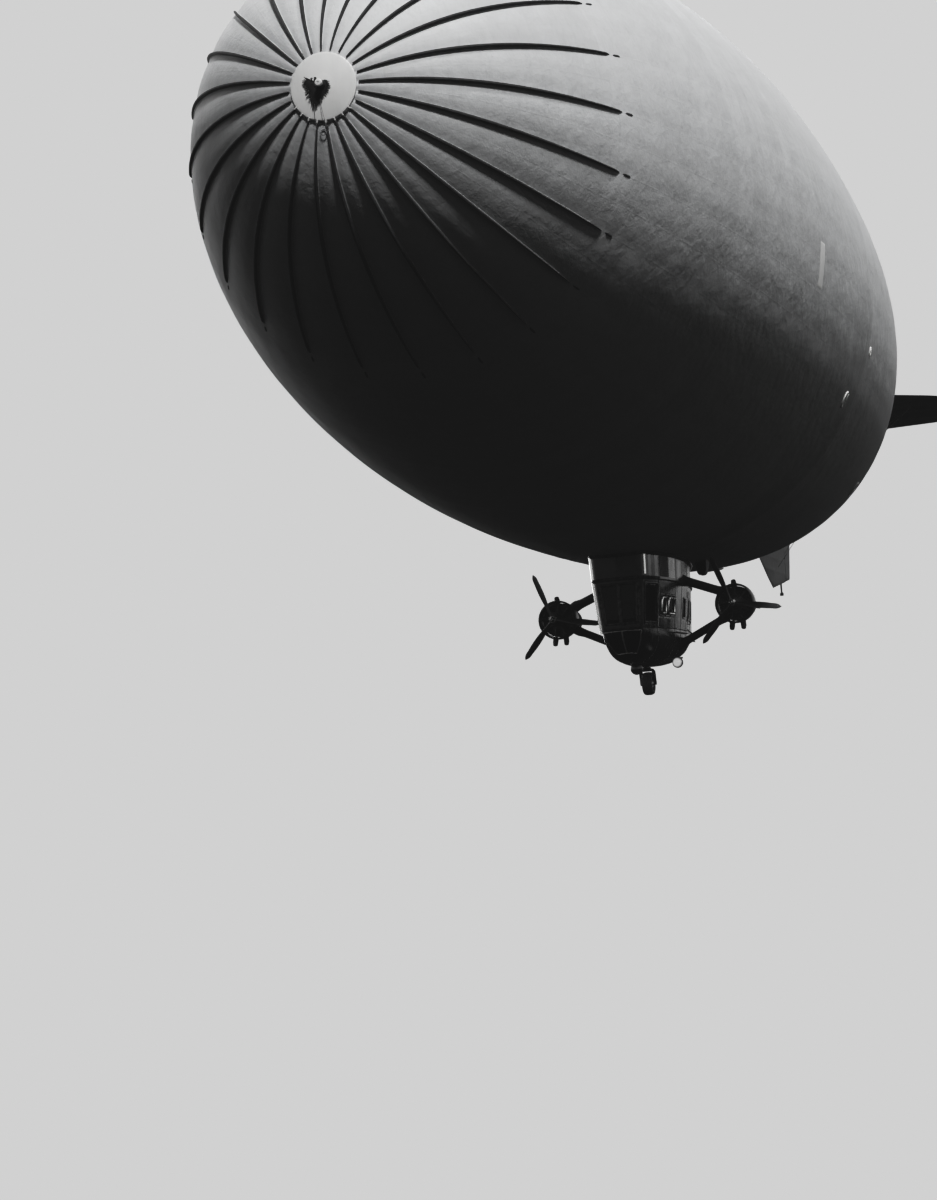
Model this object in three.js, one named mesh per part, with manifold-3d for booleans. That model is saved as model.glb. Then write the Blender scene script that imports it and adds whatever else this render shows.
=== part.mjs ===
// Non-rigid patrol airship with a control car and two outrigger engines, a half-scale model.
// Frame: +X towards the nose, +Y to port, +Z up, millimetres. The origin lies on the hull's axis
// at the centre of lift. Sizes below are the real ship's, in metres; METRE turns them into the model's.
// A place along the ship is "aft", its distance behind the nose tip.

import * as THREE from 'three';
import { mergeVertices } from 'three/addons/utils/BufferGeometryUtils.js';
import Module from 'manifold-3d';

const wasm = await Module();
wasm.setup();

// Scale and running gaps, in model millimetres
const METRE = 500;
const SEAT = 0.3;
const RUNNING = 7;

// Hull, in real metres
const LENGTH = 76.7;
const RADIUS = 8.815;
const FULLEST = 0.44 * LENGTH;
const LIFT_CENTRE = 34.6;
const SIDES = 48;
const SKIN = 10;                       // envelope thickness in model millimetres
const NOSE_OPENING = 0.45;             // radius
const NOSE_BLUNTNESS = { power: 2.36, root: 0.47 };
const TAIL_TAPER = { power: 2.17, root: 0.87 };

// Nose fittings
const CAP_RADIUS = 0.77;
const CAP_HEIGHT = 0.05;
const RING_OUTER = 0.88;
const BATTENS = 24;
const BATTEN_TIP = 5.45;               // hull radius at which a batten ends
const SPINDLE = { radius: 0.08, reach: 0.27, collar: 0.2 };
const BOOT = { inner: 0.1, length: 0.27 };

// Tail surfaces, one row each. Heights are distances from the hull's axis.
// lead: the fin's front edge low down and at the tip; hinge: where the moving surface hangs;
// trail: the moving surface's rear edge at the tip and at the root.
const TAIL = [
  { fin: 'fin_upper', flap: 'rudder_upper', turn: 0, lead: [58.9, 4.0, 64.3, 8.95],
    hinge: 71.15, hingeTip: 8.75, hingeRoot: 2.92, trail: [74.4, 8.6, 75.5, 2.1] },
  { fin: 'fin_lower', flap: 'rudder_lower', turn: 180, lead: [55.0, 5.0, 64.4, 8.3],
    hinge: 69.3, hingeTip: 7.82, hingeRoot: 3.56, trail: [71.0, 7.62, 74.4, 1.8] },
  { fin: 'fin_port', flap: 'elevator_port', turn: -90, lead: [58.9, 4.0, 64.3, 8.95],
    hinge: 71.15, hingeTip: 8.75, hingeRoot: 2.92, trail: [74.4, 8.6, 75.5, 2.1] },
  { fin: 'fin_starboard', flap: 'elevator_starboard', turn: 90, lead: [58.9, 4.0, 64.3, 8.95],
    hinge: 71.15, hingeTip: 8.75, hingeRoot: 2.92, trail: [74.4, 8.6, 75.5, 2.1] },
];
const FIN_HALF_THICK = { root: 0.15, tip: 0.07, foot: 2.0, top: 9.0 };
const LUG = { heights: [0.3, 0.72], pin: 0.016, ring: 0.05, thick: 0.04, notch: 0.075 };
const SKID = { aft: 67.6, top: 7.6, length: 0.62, radius: 0.045, pad: 0.09 };

// Control car. Stations run aft from its bow; half is the half breadth at the waist, keel the
// height of the bottom.
const CAR_BOW = 27.3;
const CAR_STATIONS = [
  { at: 0.0, half: 0.72, keel: -11.75 },
  { at: 0.3, half: 0.84, keel: -11.95 },
  { at: 1.0, half: 1.0, keel: -12.24 },
  { at: 2.0, half: 1.15, keel: -12.38 },
  { at: 3.0, half: 1.24, keel: -12.42 },
  { at: 4.2, half: 1.28, keel: -12.42 },
  { at: 6.2, half: 1.2, keel: -12.35 },
  { at: 8.6, half: 0.92, keel: -12.0 },
  { at: 10.6, half: 0.52, keel: -11.55 },
  { at: 12.2, half: 0.16, keel: -11.0 },
];
const CAR_TOP = -8.2;
const CAR_SHOULDER = -9.6;
const CAR_WAIST = -11.2;
const CAR_WALL = 0.05;
const CAR_LENGTH = 12.2;
const NOSE_END = 1.6;
const TAIL_START = 9.5;
const SILL = -11.3;
const ROOF = { low: -9.42, high: -9.36 };
const FLOOR = { low: -11.42, high: -11.36 };
const FLOOR_START = 1.75;
const PANE = 0.01;
const WINDSCREEN = { low: -11.02, high: -9.74 };
const VISOR = { low: -9.62, high: -9.5, reach: 0.09, end: 1.5 };
const SIDE_WINDOWS = [[1.75, 2.25], [2.4, 2.9], [3.05, 3.55], [5.35, 5.95], [7.9, 8.4], [8.6, 9.1]];
const SIDE_WINDOW = { low: -10.78, high: -10.1 };
const DOOR = { start: 6.75, end: 7.5, low: -11.2, high: -9.62, window: [6.92, 7.33] };

// Engines on their outriggers
const ENGINE = { aft: 31.9, out: 3.13, up: -10.5 };
const COWL = { outer: 0.69, inner: 0.605, ahead: 0.42, behind: 0.38 };
const CYLINDERS = { count: 9, reach: 0.5975, head: 0.075, foot: 0.1, root: 0.18 };
const PROPELLER = { blades: 3, radius: 1.7, ahead: 0.98 };
const OUTRIGGER_BEHIND = 0.84;
const OUTRIGGERS = [
  { name: 'outrigger_upper', outboard: [2.75, -10.08], inboard: [0.95, -9.36], thick: 0.35, chord: 0.8 },
  { name: 'outrigger_lower', outboard: [2.75, -10.84], inboard: [0.65, -11.86], thick: 0.32, chord: 0.7 },
];

// Landing gear
const WHEEL = { aft: 31.0, axle: -13.0, radius: 0.4, width: 0.36, trail: 0.1 };
const FORK = { crown: -12.5, thick: 0.05, inside: 0.2, arm: 0.045 };
const AXLE = 0.035;

const airship = new THREE.Group();

// Small tools

// Model X of a place given as metres aft of the nose tip.
function x(aft) {
  return (LIFT_CENTRE - aft) * METRE;
}

// A look for one mesh.
function look(colour, roughness, metalness = 0) {
  return new THREE.MeshStandardMaterial({ color: colour, roughness, metalness });
}

// Merge shared corners, drop collapsed triangles and turn the faces outward.
function closed(geometry) {
  const bare = geometry.clone();
  bare.deleteAttribute('normal');
  bare.deleteAttribute('uv');
  const merged = mergeVertices(bare, 1e-3);
  const old = merged.index.array;
  const place = merged.attributes.position;
  const kept = [];
  let volume = 0;
  const a = new THREE.Vector3();
  const b = new THREE.Vector3();
  const c = new THREE.Vector3();
  for (let i = 0; i < old.length; i += 3) {
    const [p, q, r] = [old[i], old[i + 1], old[i + 2]];
    if (p === q || q === r || r === p) continue;
    kept.push(p, q, r);
    a.fromBufferAttribute(place, p);
    b.fromBufferAttribute(place, q);
    c.fromBufferAttribute(place, r);
    volume += a.dot(b.cross(c));
  }
  if (volume < 0) kept.reverse();
  merged.setIndex(kept);
  return merged;
}

// A geometry as a solid for cutting and joining.
function solid(geometry) {
  const shape = closed(geometry);
  return new wasm.Manifold(new wasm.Mesh({
    numProp: 3,
    vertProperties: new Float32Array(shape.attributes.position.array),
    triVerts: new Uint32Array(shape.index.array),
  }));
}

// A cut or joined solid back as a geometry.
function shaped(body) {
  const result = body.getMesh();
  const geometry = new THREE.BufferGeometry();
  geometry.setAttribute('position', new THREE.BufferAttribute(result.vertProperties, 3));
  geometry.setIndex(Array.from(result.triVerts));
  return geometry;
}

function add(name, form, material, place = null) {
  const geometry = form instanceof THREE.BufferGeometry ? closed(form) : shaped(form);
  geometry.computeVertexNormals();
  const mesh = new THREE.Mesh(geometry, material);
  mesh.name = name;
  if (place) mesh.position.copy(place);
  airship.add(mesh);
  return mesh;
}

// Rings of corners, all of one count, skinned and closed at both ends.
function loft(rings) {
  const count = rings[0].length;
  const corners = rings.flat().flatMap((p) => [p.x, p.y, p.z]);
  const faces = [];
  for (let r = 0; r + 1 < rings.length; r += 1) {
    for (let i = 0; i < count; i += 1) {
      const j = (i + 1) % count;
      const [a, b, c, d] = [r * count + i, r * count + j, (r + 1) * count + j, (r + 1) * count + i];
      faces.push(a, b, c, a, c, d);
    }
  }
  for (let i = 1; i + 1 < count; i += 1) {
    const last = (rings.length - 1) * count;
    faces.push(0, i + 1, i, last, last + i, last + i + 1);
  }
  const geometry = new THREE.BufferGeometry();
  geometry.setAttribute('position', new THREE.Float32BufferAttribute(corners, 3));
  geometry.setIndex(faces);
  return geometry;
}

// A block between two corners, each [aft, port, up] in real metres.
function block(from, to) {
  const size = from.map((v, i) => Math.abs(to[i] - v) * METRE);
  const box = new THREE.BoxGeometry(...size);
  box.translate(x((from[0] + to[0]) / 2), (from[1] + to[1]) / 2 * METRE, (from[2] + to[2]) / 2 * METRE);
  return box;
}

// A body of revolution about a line along X. The profile lists [aft, radius] in real metres.
function turned(profile, sides, port = 0, up = 0) {
  const points = profile.map(([aft, radius]) => new THREE.Vector2(radius * METRE, x(aft)));
  const geometry = new THREE.LatheGeometry(points, sides);
  geometry.rotateZ(-Math.PI / 2);
  geometry.translate(0, port * METRE, up * METRE);
  return geometry;
}

// An upright round bar at [aft, port] between two heights.
function post(aft, port, low, high, radius, sides = 12) {
  const bar = new THREE.CylinderGeometry(radius * METRE, radius * METRE, (high - low) * METRE, sides);
  bar.rotateX(Math.PI / 2);
  bar.translate(x(aft), port * METRE, (low + high) / 2 * METRE);
  return bar;
}

// A bar lying across the ship at [aft, up] between two distances to port.
function crossBar(aft, up, from, to, radius, sides = 12) {
  const bar = new THREE.CylinderGeometry(radius * METRE, radius * METRE, (to - from) * METRE, sides);
  bar.translate(x(aft), (from + to) / 2 * METRE, up * METRE);
  return bar;
}

// Hull

function hullRadius(aft) {
  const ahead = aft < FULLEST;
  const { power, root } = ahead ? NOSE_BLUNTNESS : TAIL_TAPER;
  const share = ahead ? (FULLEST - aft) / FULLEST : (aft - FULLEST) / (LENGTH - FULLEST);
  return RADIUS * Math.max(1 - share ** power, 0) ** root;
}

// Where the nose half of the hull has the given radius.
function aftOfRadius(radius) {
  const { power, root } = NOSE_BLUNTNESS;
  return FULLEST * (1 - (1 - (radius / RADIUS) ** (1 / root)) ** (1 / power));
}

// The hull's outline from the nose opening to the tail, as [aft, radius] corners.
const outline = [NOSE_OPENING, 0.62, CAP_RADIUS, RING_OUTER, 1.7, 2.5, BATTEN_TIP]
  .map((radius) => [aftOfRadius(radius), radius]);
for (let degrees = 25; degrees < 90; degrees += 7.2) {
  const aft = FULLEST * (1 - Math.cos(THREE.MathUtils.degToRad(degrees)));
  outline.push([aft, hullRadius(aft)]);
}
for (let degrees = 0; degrees < 86; degrees += 7.8) {
  const aft = FULLEST + (LENGTH - FULLEST) * Math.sin(THREE.MathUtils.degToRad(degrees));
  outline.push([aft, hullRadius(aft)]);
}

outline.sort((one, other) => one[0] - other[0]);

// The outward direction of the outline at a corner, or between two, as [aft, radius].
function outward(index) {
  const before = outline[Math.max(Math.ceil(index) - 1, 0)];
  const after = outline[Math.floor(index) + 1] ?? [LENGTH, 0];
  const run = after[0] - before[0];
  const rise = after[1] - before[1];
  const length = Math.hypot(run, rise);
  return [-rise / length, run / length];
}

// The outline moved outward by a distance in model millimetres.
function grown(distance) {
  return outline.map(([aft, radius], index) => {
    const [along, away] = outward(index);
    return [aft + along * distance / METRE, radius + away * distance / METRE];
  });
}

// The filled hull, larger by a distance, for cutting what rests on it.
function filledHull(distance) {
  const skin = grown(distance);
  return solid(turned([[-0.02, 0], ...skin, [LENGTH + 0.02, 0]], SIDES));
}

const silver = look(0xb9bcbc, 0.45, 0.35);
const outer = [...outline, [LENGTH, 0]];
const inner = grown(-SKIN).filter(([aft]) => aft < 75.5).reverse();
add('envelope', turned([[75.6, 0], ...inner, ...outer], SIDES), silver);

const hullForCutting = filledHull(SEAT * 1.4);

// Nose

const capEdge = outline.findIndex(([, radius]) => radius > CAP_RADIUS + 1e-6) - 1;
const capUnder = grown(SEAT * 1.3).slice(0, capEdge + 1);
const capOver = grown(CAP_HEIGHT * METRE).slice(0, capEdge + 1);
const capRim = [capOver.at(-1)[0], capOver.at(-1)[1]];
const noseTip = -CAP_HEIGHT - 0.02;
add('nose_cap', turned([
  [noseTip, 0], [noseTip, SPINDLE.collar], ...capOver.slice(0, -1), capRim, ...capUnder.reverse(),
  [0.02, 0],
], SIDES), look(0xd8dad8, 0.5, 0.2));

// One batten: a raised strip lying along the hull's crest from the root ring to its tip.
function batten(under, over) {
  const rings = under.map((low, index) => {
    const high = over[index];
    const along = index / (under.length - 1);
    const half = 0.03 + 0.035 * Math.sin(Math.PI * along) ** 0.8;
    const corner = ([aft, radius], across) => new THREE.Vector3(x(aft), across * METRE, radius * METRE);
    return [corner(low, -half), corner(low, half), corner(high, half * 0.55), corner(high, -half * 0.55)];
  });
  return loft(rings);
}

// A point part of the way from one corner of a line to the next.
function between(line, index, share) {
  return line[index].map((value, axis) => value + (line[index + 1][axis] - value) * share);
}

const battenEnd = outline.findIndex(([, radius]) => radius > BATTEN_TIP - 1e-6);
const under = grown(SEAT * 1.4);
const ringOver = grown(0.055 * METRE);
const battenUnder = [between(under, capEdge, 0.5), ...under.slice(capEdge + 1, battenEnd + 1)];
const battenOver = battenUnder.map(([aft, radius], index, list) => {
  const [along, away] = outward(capEdge + Math.max(index, 0.5));
  const height = 0.045 + 0.04 * Math.sin(Math.PI * (index / (list.length - 1)));
  return [aft + along * height, radius + away * height];
});
const rimGap = 0.02;
const ringProfile = [
  between(ringOver, capEdge, rimGap), ringOver[capEdge + 1], under[capEdge + 1],
  between(under, capEdge, rimGap), between(ringOver, capEdge, rimGap),
];
let battens = solid(turned(ringProfile, SIDES));
const strip = solid(batten(battenUnder, battenOver));
for (let i = 0; i < BATTENS; i += 1) {
  battens = battens.add(strip.rotate([i * 360 / BATTENS, 0, 0]));
}
add('nose_battens', battens, look(0x2e3032, 0.6, 0.3));

const seat = noseTip - SEAT / METRE;
add('mooring_spindle', turned([
  [seat, 0], [seat, SPINDLE.radius * 0.85], [seat - SPINDLE.reach * 0.7, SPINDLE.radius * 0.6],
  [seat - SPINDLE.reach * 0.72, SPINDLE.radius], [seat - SPINDLE.reach, SPINDLE.radius],
  [seat - SPINDLE.reach, 0],
], 16), look(0xcfd0cc, 0.4, 0.6));
add('mooring_boot', turned([
  [seat, BOOT.inner], [seat - BOOT.length * 0.6, BOOT.inner],
  [seat - BOOT.length * 0.6, BOOT.inner + 0.05],
  [seat, SPINDLE.collar - 0.001], [seat, BOOT.inner],
], 16), look(0x1d1d1d, 0.9));

// Tail surfaces

function halfThickness(height) {
  const { root, tip, foot, top } = FIN_HALF_THICK;
  return root + (tip - root) * (height - foot) / (top - foot);
}

// Section of a fin at one height: front edge, two widening steps and a blunt rear face.
function finSection(leadAft, leadUp, rearAft, rearUp) {
  const steps = [[0.12, 0.6], [0.38, 1.0], [1.0, 0.88]];
  const at = (share, side) => {
    const up = leadUp + (rearUp - leadUp) * share;
    const aft = leadAft + (rearAft - leadAft) * share;
    return new THREE.Vector3(x(aft), side * halfThickness(up) * METRE, up * METRE);
  };
  const front = at(0, 0);
  const portSide = steps.map(([share, width]) => at(share, width));
  const otherSide = steps.map(([share, width]) => at(share, -width)).reverse();
  return [front, ...portSide, ...otherSide];
}

// The hinge line's own front: how far ahead of the hinge the fin stops at a height.
function hingeClear(height) {
  return halfThickness(height) * 0.88 + RUNNING / METRE;
}

function finBody(row) {
  const [lowAft, lowUp, tipAft, tipUp] = row.lead;
  const rear = (height) => row.hinge - hingeClear(height);
  const shoulder = 0.86;
  const shoulderAft = lowAft + (tipAft - lowAft) * shoulder;
  const shoulderUp = lowUp + (tipUp - lowUp) * shoulder;
  let body = solid(loft([
    finSection(lowAft, FIN_HALF_THICK.foot, rear(FIN_HALF_THICK.foot), FIN_HALF_THICK.foot),
    finSection(lowAft, lowUp, rear(lowUp), lowUp),
    finSection(shoulderAft, shoulderUp, rear(row.hingeTip), row.hingeTip - 0.6),
    finSection(tipAft + 0.25, tipUp, rear(row.hingeTip), row.hingeTip),
  ]));
  for (const lug of lugHeights(row)) {
    const ring = new THREE.CylinderGeometry(LUG.ring * METRE, LUG.ring * METRE, LUG.thick * METRE, 16);
    ring.rotateX(Math.PI / 2);
    ring.translate(x(row.hinge), 0, lug * METRE);
    const neck = block([row.hinge - 0.4, -0.035, lug - LUG.thick / 2],
      [row.hinge, 0.035, lug + LUG.thick / 2]);
    const hole = post(row.hinge, 0, lug - LUG.thick, lug + LUG.thick, LUG.pin + 0.6 / METRE, 16);
    body = body.add(solid(ring)).add(solid(neck)).subtract(solid(hole));
  }
  return body;
}

function lugHeights(row) {
  return LUG.heights.map((share) => row.hingeRoot + (row.hingeTip - row.hingeRoot) * share);
}

// Section of a rudder or elevator: a half-round front about the hinge, then straight to the rear.
function flapSection(hingeAft, hingeUp, rearAft, rearUp) {
  const round = halfThickness(hingeUp) * 0.88;
  const front = [[0, 1], [0.71, 0.71], [1, 0], [0.71, -0.71], [0, -1]];
  const ring = front.map(([ahead, side]) => (
    new THREE.Vector3(x(hingeAft - ahead * round), side * round * METRE, hingeUp * METRE)));
  const edge = 0.015;
  ring.push(new THREE.Vector3(x(rearAft), -edge * METRE, rearUp * METRE));
  ring.push(new THREE.Vector3(x(rearAft), edge * METRE, rearUp * METRE));
  return ring;
}

function flapBody(row) {
  const [tipAft, tipUp, rootAft, rootUp] = row.trail;
  let body = solid(loft([
    flapSection(row.hinge, row.hingeRoot, rootAft, rootUp),
    flapSection(row.hinge, row.hingeTip - 0.03, tipAft, tipUp),
  ]));
  for (const lug of lugHeights(row)) {
    const low = lug - LUG.notch / 2;
    const high = lug + LUG.notch / 2;
    const notch = block([row.hinge - 0.3, -0.3, low], [row.hinge + LUG.ring + 0.02, 0.3, high]);
    const pin = post(row.hinge, 0, low - 0.02, high + 0.02, LUG.pin, 16);
    body = body.subtract(solid(notch)).add(solid(pin));
  }
  return body;
}

const finGrey = look(0x8e9191, 0.6, 0.15);
for (const row of TAIL) {
  add(row.fin, finBody(row).rotate([row.turn, 0, 0]).subtract(hullForCutting), finGrey);
  add(row.flap, flapBody(row).rotate([row.turn, 0, 0]), finGrey);
}

// Tail skid under the lower fin: a bar with a round pad, its top cut to the fin's edge.
const lowerFin = finBody(TAIL[1]).rotate([180, 0, 0]);
const skidLow = -SKID.top - 0.35 - SKID.length;
const skidBar = solid(post(SKID.aft, 0, skidLow, -SKID.top, SKID.radius, 10));
const skidPad = solid(post(SKID.aft, 0, skidLow, skidLow + 0.14, SKID.pad, 12));
const finGrown = lowerFin.translate([0, 0, -SEAT]);
add('tail_skid', skidBar.add(skidPad).subtract(finGrown), look(0x26282a, 0.7, 0.3));

// Control car

// One section of the car, moved inward by a distance in real metres.
function carSection({ at, half, keel }, inset) {
  const y = (share) => Math.max(half * share - inset, 0.02);
  const halfRing = [
    [y(1.05), CAR_TOP], [y(1.0), CAR_SHOULDER], [y(0.84), CAR_WAIST],
    [y(0.68), Math.min(keel + 0.42, CAR_WAIST - 0.06) + inset * 0.5],
    [y(0.32), Math.min(keel, CAR_WAIST - 0.14) + inset],
  ];
  const port = halfRing.map(([side, up]) => new THREE.Vector3(x(CAR_BOW + at), side * METRE, up * METRE));
  const starboard = halfRing.map(([side, up]) => (
    new THREE.Vector3(x(CAR_BOW + at), -side * METRE, up * METRE)));
  return [...port, ...starboard.reverse()];
}

// The car's filled form, smaller by an inset (larger where it is negative).
function carForm(inset) {
  const last = CAR_STATIONS.length - 1;
  const rings = CAR_STATIONS.map((station, index) => {
    let { at } = station;
    if (index === 0) at += inset;
    if (index === last) at -= inset;
    return carSection({ ...station, at }, inset);
  });
  return solid(loft(rings));
}

const EDGE = SEAT / 2 / METRE;
const carOuter = carForm(0);
const carInner = carForm(CAR_WALL);
const carShell = carOuter.subtract(carInner).subtract(hullForCutting);
const glassOuter = carForm(CAR_WALL + SEAT / METRE);
const glassInner = carForm(CAR_WALL + SEAT / METRE + PANE);
const glassShell = glassOuter.subtract(glassInner);

// A block of the car between stations s, heights and sides.
function zone(from, to, low, high, port = [-3, 3]) {
  return solid(block([CAR_BOW + from, port[0], low], [CAR_BOW + to, port[1], high]));
}

const carGrey = look(0x6f7374, 0.45, 0.4);
const glassLook = look(0x30383c, 0.1, 0.1);

// Bow: windscreen of two front panes and a corner pane each side, a chin window, and a visor.
const visor = carForm(-VISOR.reach).subtract(carForm(CAR_WALL * 0.5))
  .intersect(zone(-0.2, VISOR.end, VISOR.low, VISOR.high));
let bow = carShell.intersect(zone(-0.5, NOSE_END - EDGE, -13, -8)).add(visor);
for (const side of [-1, 1]) {
  bow = bow.subtract(zone(-0.2, 0.2, WINDSCREEN.low, WINDSCREEN.high, [0.03 * side, 0.6 * side]));
  bow = bow.subtract(zone(0.34, 1.42, WINDSCREEN.low, WINDSCREEN.high, [0.4 * side, 1.5 * side]));
}
bow = bow.subtract(zone(-0.2, 0.7, -12.5, -11.2, [-0.46, 0.46]));
add('car_bow', bow, carGrey);
add('windscreen', glassShell.intersect(zone(-0.5, NOSE_END - 0.06,
  WINDSCREEN.low - 0.06, WINDSCREEN.high + 0.06)), glassLook);
add('chin_window', glassShell.intersect(zone(-0.5, 0.8, -12.5, -11.16, [-0.5, 0.5])), glassLook);

// Sides with a row of windows; the port side also has the door's opening.
const sideZone = [NOSE_END + EDGE, TAIL_START - EDGE, SILL + EDGE, -8];
const doorGap = 5.5 / METRE;
const panels = {};
for (const [name, side] of [['port', 1], ['starboard', -1]]) {
  let panel = carShell.intersect(zone(...sideZone, [0, 3 * side]));
  for (const [from, to] of SIDE_WINDOWS) {
    panel = panel.subtract(zone(from, to, SIDE_WINDOW.low, SIDE_WINDOW.high, [0, 3 * side]));
  }
  if (side > 0) {
    panel = panel.subtract(zone(DOOR.start - doorGap, DOOR.end + doorGap,
      DOOR.low - doorGap, DOOR.high + doorGap, [0, 3]));
  }
  panels[name] = panel;
}

add('car_belly', carShell.intersect(zone(NOSE_END + EDGE, TAIL_START - EDGE, -13, SILL - EDGE)), carGrey);
add('car_stern', carShell.intersect(zone(TAIL_START + EDGE, CAR_LENGTH + 1, -13, -8)), carGrey);

const fitted = carForm(CAR_WALL + SEAT / METRE);
add('car_roof', fitted.intersect(zone(0.3, CAR_LENGTH - 0.4, ROOF.low, ROOF.high)), carGrey);
add('car_floor', fitted.intersect(zone(FLOOR_START, CAR_LENGTH - 3.4, FLOOR.low, FLOOR.high)),
  look(0x4a4c4c, 0.8));

// Glass along the inner walls, and the port door with its own pane, hung on two barrels.
for (const [name, side] of [['port', 1], ['starboard', -1]]) {
  const low = SIDE_WINDOW.low - 0.06;
  const high = SIDE_WINDOW.high + 0.06;
  const strip = (from, to) => glassShell.intersect(zone(from, to, low, high, [0.3 * side, 3 * side]));
  add(`windows_forward_${name}`, strip(NOSE_END + 0.06, 6.1), glassLook);
  add(`windows_aft_${name}`, strip(7.8, 9.2), glassLook);
}
let door = carShell.intersect(zone(DOOR.start, DOOR.end, DOOR.low, DOOR.high, [0, 3]));
const [paneFrom, paneTo] = DOOR.window;
door = door.subtract(zone(paneFrom, paneTo, SIDE_WINDOW.low, SIDE_WINDOW.high, [0, 3]));
const doorPane = glassShell.intersect(zone(paneFrom - 0.05, paneTo + 0.05, SIDE_WINDOW.low - 0.05,
  SIDE_WINDOW.high + 0.05, [0.3, 3]));
// The hinge line leans with the car's side: its distance to port at the shoulder and the waist.
const HINGE = {
  at: DOOR.start - doorGap / 2, shoulder: 1.162, waist: 0.98, radius: 0.014, tall: 0.12,
};
const lean = Math.atan((HINGE.shoulder - HINGE.waist) / (CAR_SHOULDER - CAR_WAIST));
const hingePort = (up) => (
  HINGE.waist + (HINGE.shoulder - HINGE.waist) * (up - CAR_WAIST) / (CAR_SHOULDER - CAR_WAIST));

function barrel(low, high) {
  const thick = HINGE.radius * METRE;
  const bar = new THREE.CylinderGeometry(thick, thick, (high - low) * METRE, 10);
  bar.rotateX(Math.PI / 2 - lean);
  const middle = (low + high) / 2;
  bar.translate(x(CAR_BOW + HINGE.at), hingePort(middle) * METRE, middle * METRE);
  return solid(bar);
}

function leaf(from, to, low, high) {
  const port = hingePort((low + high) / 2);
  const aft = CAR_BOW + HINGE.at;
  return solid(block([aft + from, port - 0.05, low], [aft + to, port + 0.004, high]));
}

let sidePort = panels.port;
for (const up of [DOOR.low + 0.3, DOOR.high - 0.45]) {
  const middle = up + HINGE.tall;
  const top = middle + HINGE.tall;
  const seatedLow = middle + SEAT / METRE;
  door = door.add(barrel(up, middle)).add(leaf(0, 0.05, up + 0.01, middle - 0.01));
  sidePort = sidePort.add(barrel(seatedLow, top)).add(leaf(-0.05, 0, seatedLow + 0.01, top - 0.01));
}
add('car_side_port', sidePort, carGrey);
add('car_side_starboard', panels.starboard, carGrey);
add('car_door', door, carGrey);
add('door_pane', doorPane, glassLook);

// Flight deck
const seatBlack = look(0x232323, 0.8);
const onFloor = FLOOR.high + SEAT / METRE;
const console = solid(block([CAR_BOW + 1.85, -0.75, onFloor], [CAR_BOW + 2.15, 0.75, -10.75]));
add('console', console, look(0x303232, 0.7));
for (const [name, side] of [['port', 1], ['starboard', -1]]) {
  const at = CAR_BOW + 2.75;
  const cushion = solid(block([at, side * 0.2, onFloor], [at + 0.5, side * 0.68, onFloor + 0.42]));
  const back = solid(block([at + 0.4, side * 0.2, onFloor], [at + 0.52, side * 0.68, -10.25]));
  add(`seat_${name}`, cushion.add(back), seatBlack);
}

// Engines: ring cowl, nine-cylinder radial, nacelle and three-blade tractor propeller
const steel = look(0x55585a, 0.4, 0.7);
const dark = look(0x1f2122, 0.6, 0.3);
const cowlFront = ENGINE.aft - COWL.ahead;
const cowlRear = ENGINE.aft + COWL.behind;
const NACELLE = [
  [ENGINE.aft + 0.3, 0], [ENGINE.aft + 0.3, 0.44], [ENGINE.aft + 0.5, 0.5], [ENGINE.aft + 1.1, 0.5],
  [ENGINE.aft + 1.9, 0.4], [ENGINE.aft + 2.5, 0.24], [ENGINE.aft + 2.85, 0.08], [ENGINE.aft + 2.85, 0],
];

function cowlRing(side) {
  return turned([
    [cowlFront, 0.62], [cowlFront + 0.06, COWL.outer - 0.03], [cowlFront + 0.2, COWL.outer],
    [cowlRear, COWL.inner + 0.02], [cowlRear, COWL.inner], [cowlFront + 0.04, COWL.inner],
    [cowlFront, 0.62],
  ], 36, side * ENGINE.out, ENGINE.up);
}

function radialEngine() {
  const aft = ENGINE.aft;
  let body = solid(turned([
    [aft - 0.86, 0], [aft - 0.86, 0.07], [aft - 0.7, 0.1], [aft - 0.45, 0.2], [aft - 0.2, 0.27],
    [aft + 0.2, 0.27], [aft + 0.3 - SEAT / METRE, 0.2], [aft + 0.3 - SEAT / METRE, 0],
  ], 18));
  const { count, reach, head, foot, root } = CYLINDERS;
  for (let i = 0; i < count; i += 1) {
    const pot = new THREE.CylinderGeometry(head * METRE, foot * METRE, (reach - root) * METRE, 8);
    pot.translate(0, (reach + root) / 2 * METRE, 0);
    const turn = solid(pot).rotate([90 + i * 360 / count, 0, 0]);
    body = body.add(turn.translate([x(aft), 0, 0]));
  }
  return body;
}

// One blade section: chord, thickness and pitch at a radius.
function bladeSection({ radius, chord, thick, pitch }) {
  const angle = THREE.MathUtils.degToRad(pitch);
  const shape = [[-0.5, 0], [-0.2, 0.5], [0.25, 0.4], [0.5, 0], [0.25, -0.3], [-0.2, -0.3]];
  return shape.map(([along, away]) => {
    const across = along * chord;
    const deep = away * thick;
    return new THREE.Vector3(
      (across * Math.sin(angle) + deep * Math.cos(angle)) * METRE,
      (across * Math.cos(angle) - deep * Math.sin(angle)) * METRE,
      radius * METRE);
  });
}

const BLADE = [
  { radius: 0.08, chord: 0.1, thick: 0.1, pitch: 50 },
  { radius: 0.3, chord: 0.14, thick: 0.08, pitch: 45 },
  { radius: 0.8, chord: 0.23, thick: 0.045, pitch: 30 },
  { radius: 1.35, chord: 0.2, thick: 0.028, pitch: 20 },
  { radius: 1.62, chord: 0.13, thick: 0.018, pitch: 16 },
  { radius: PROPELLER.radius, chord: 0.04, thick: 0.01, pitch: 15 },
];

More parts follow.
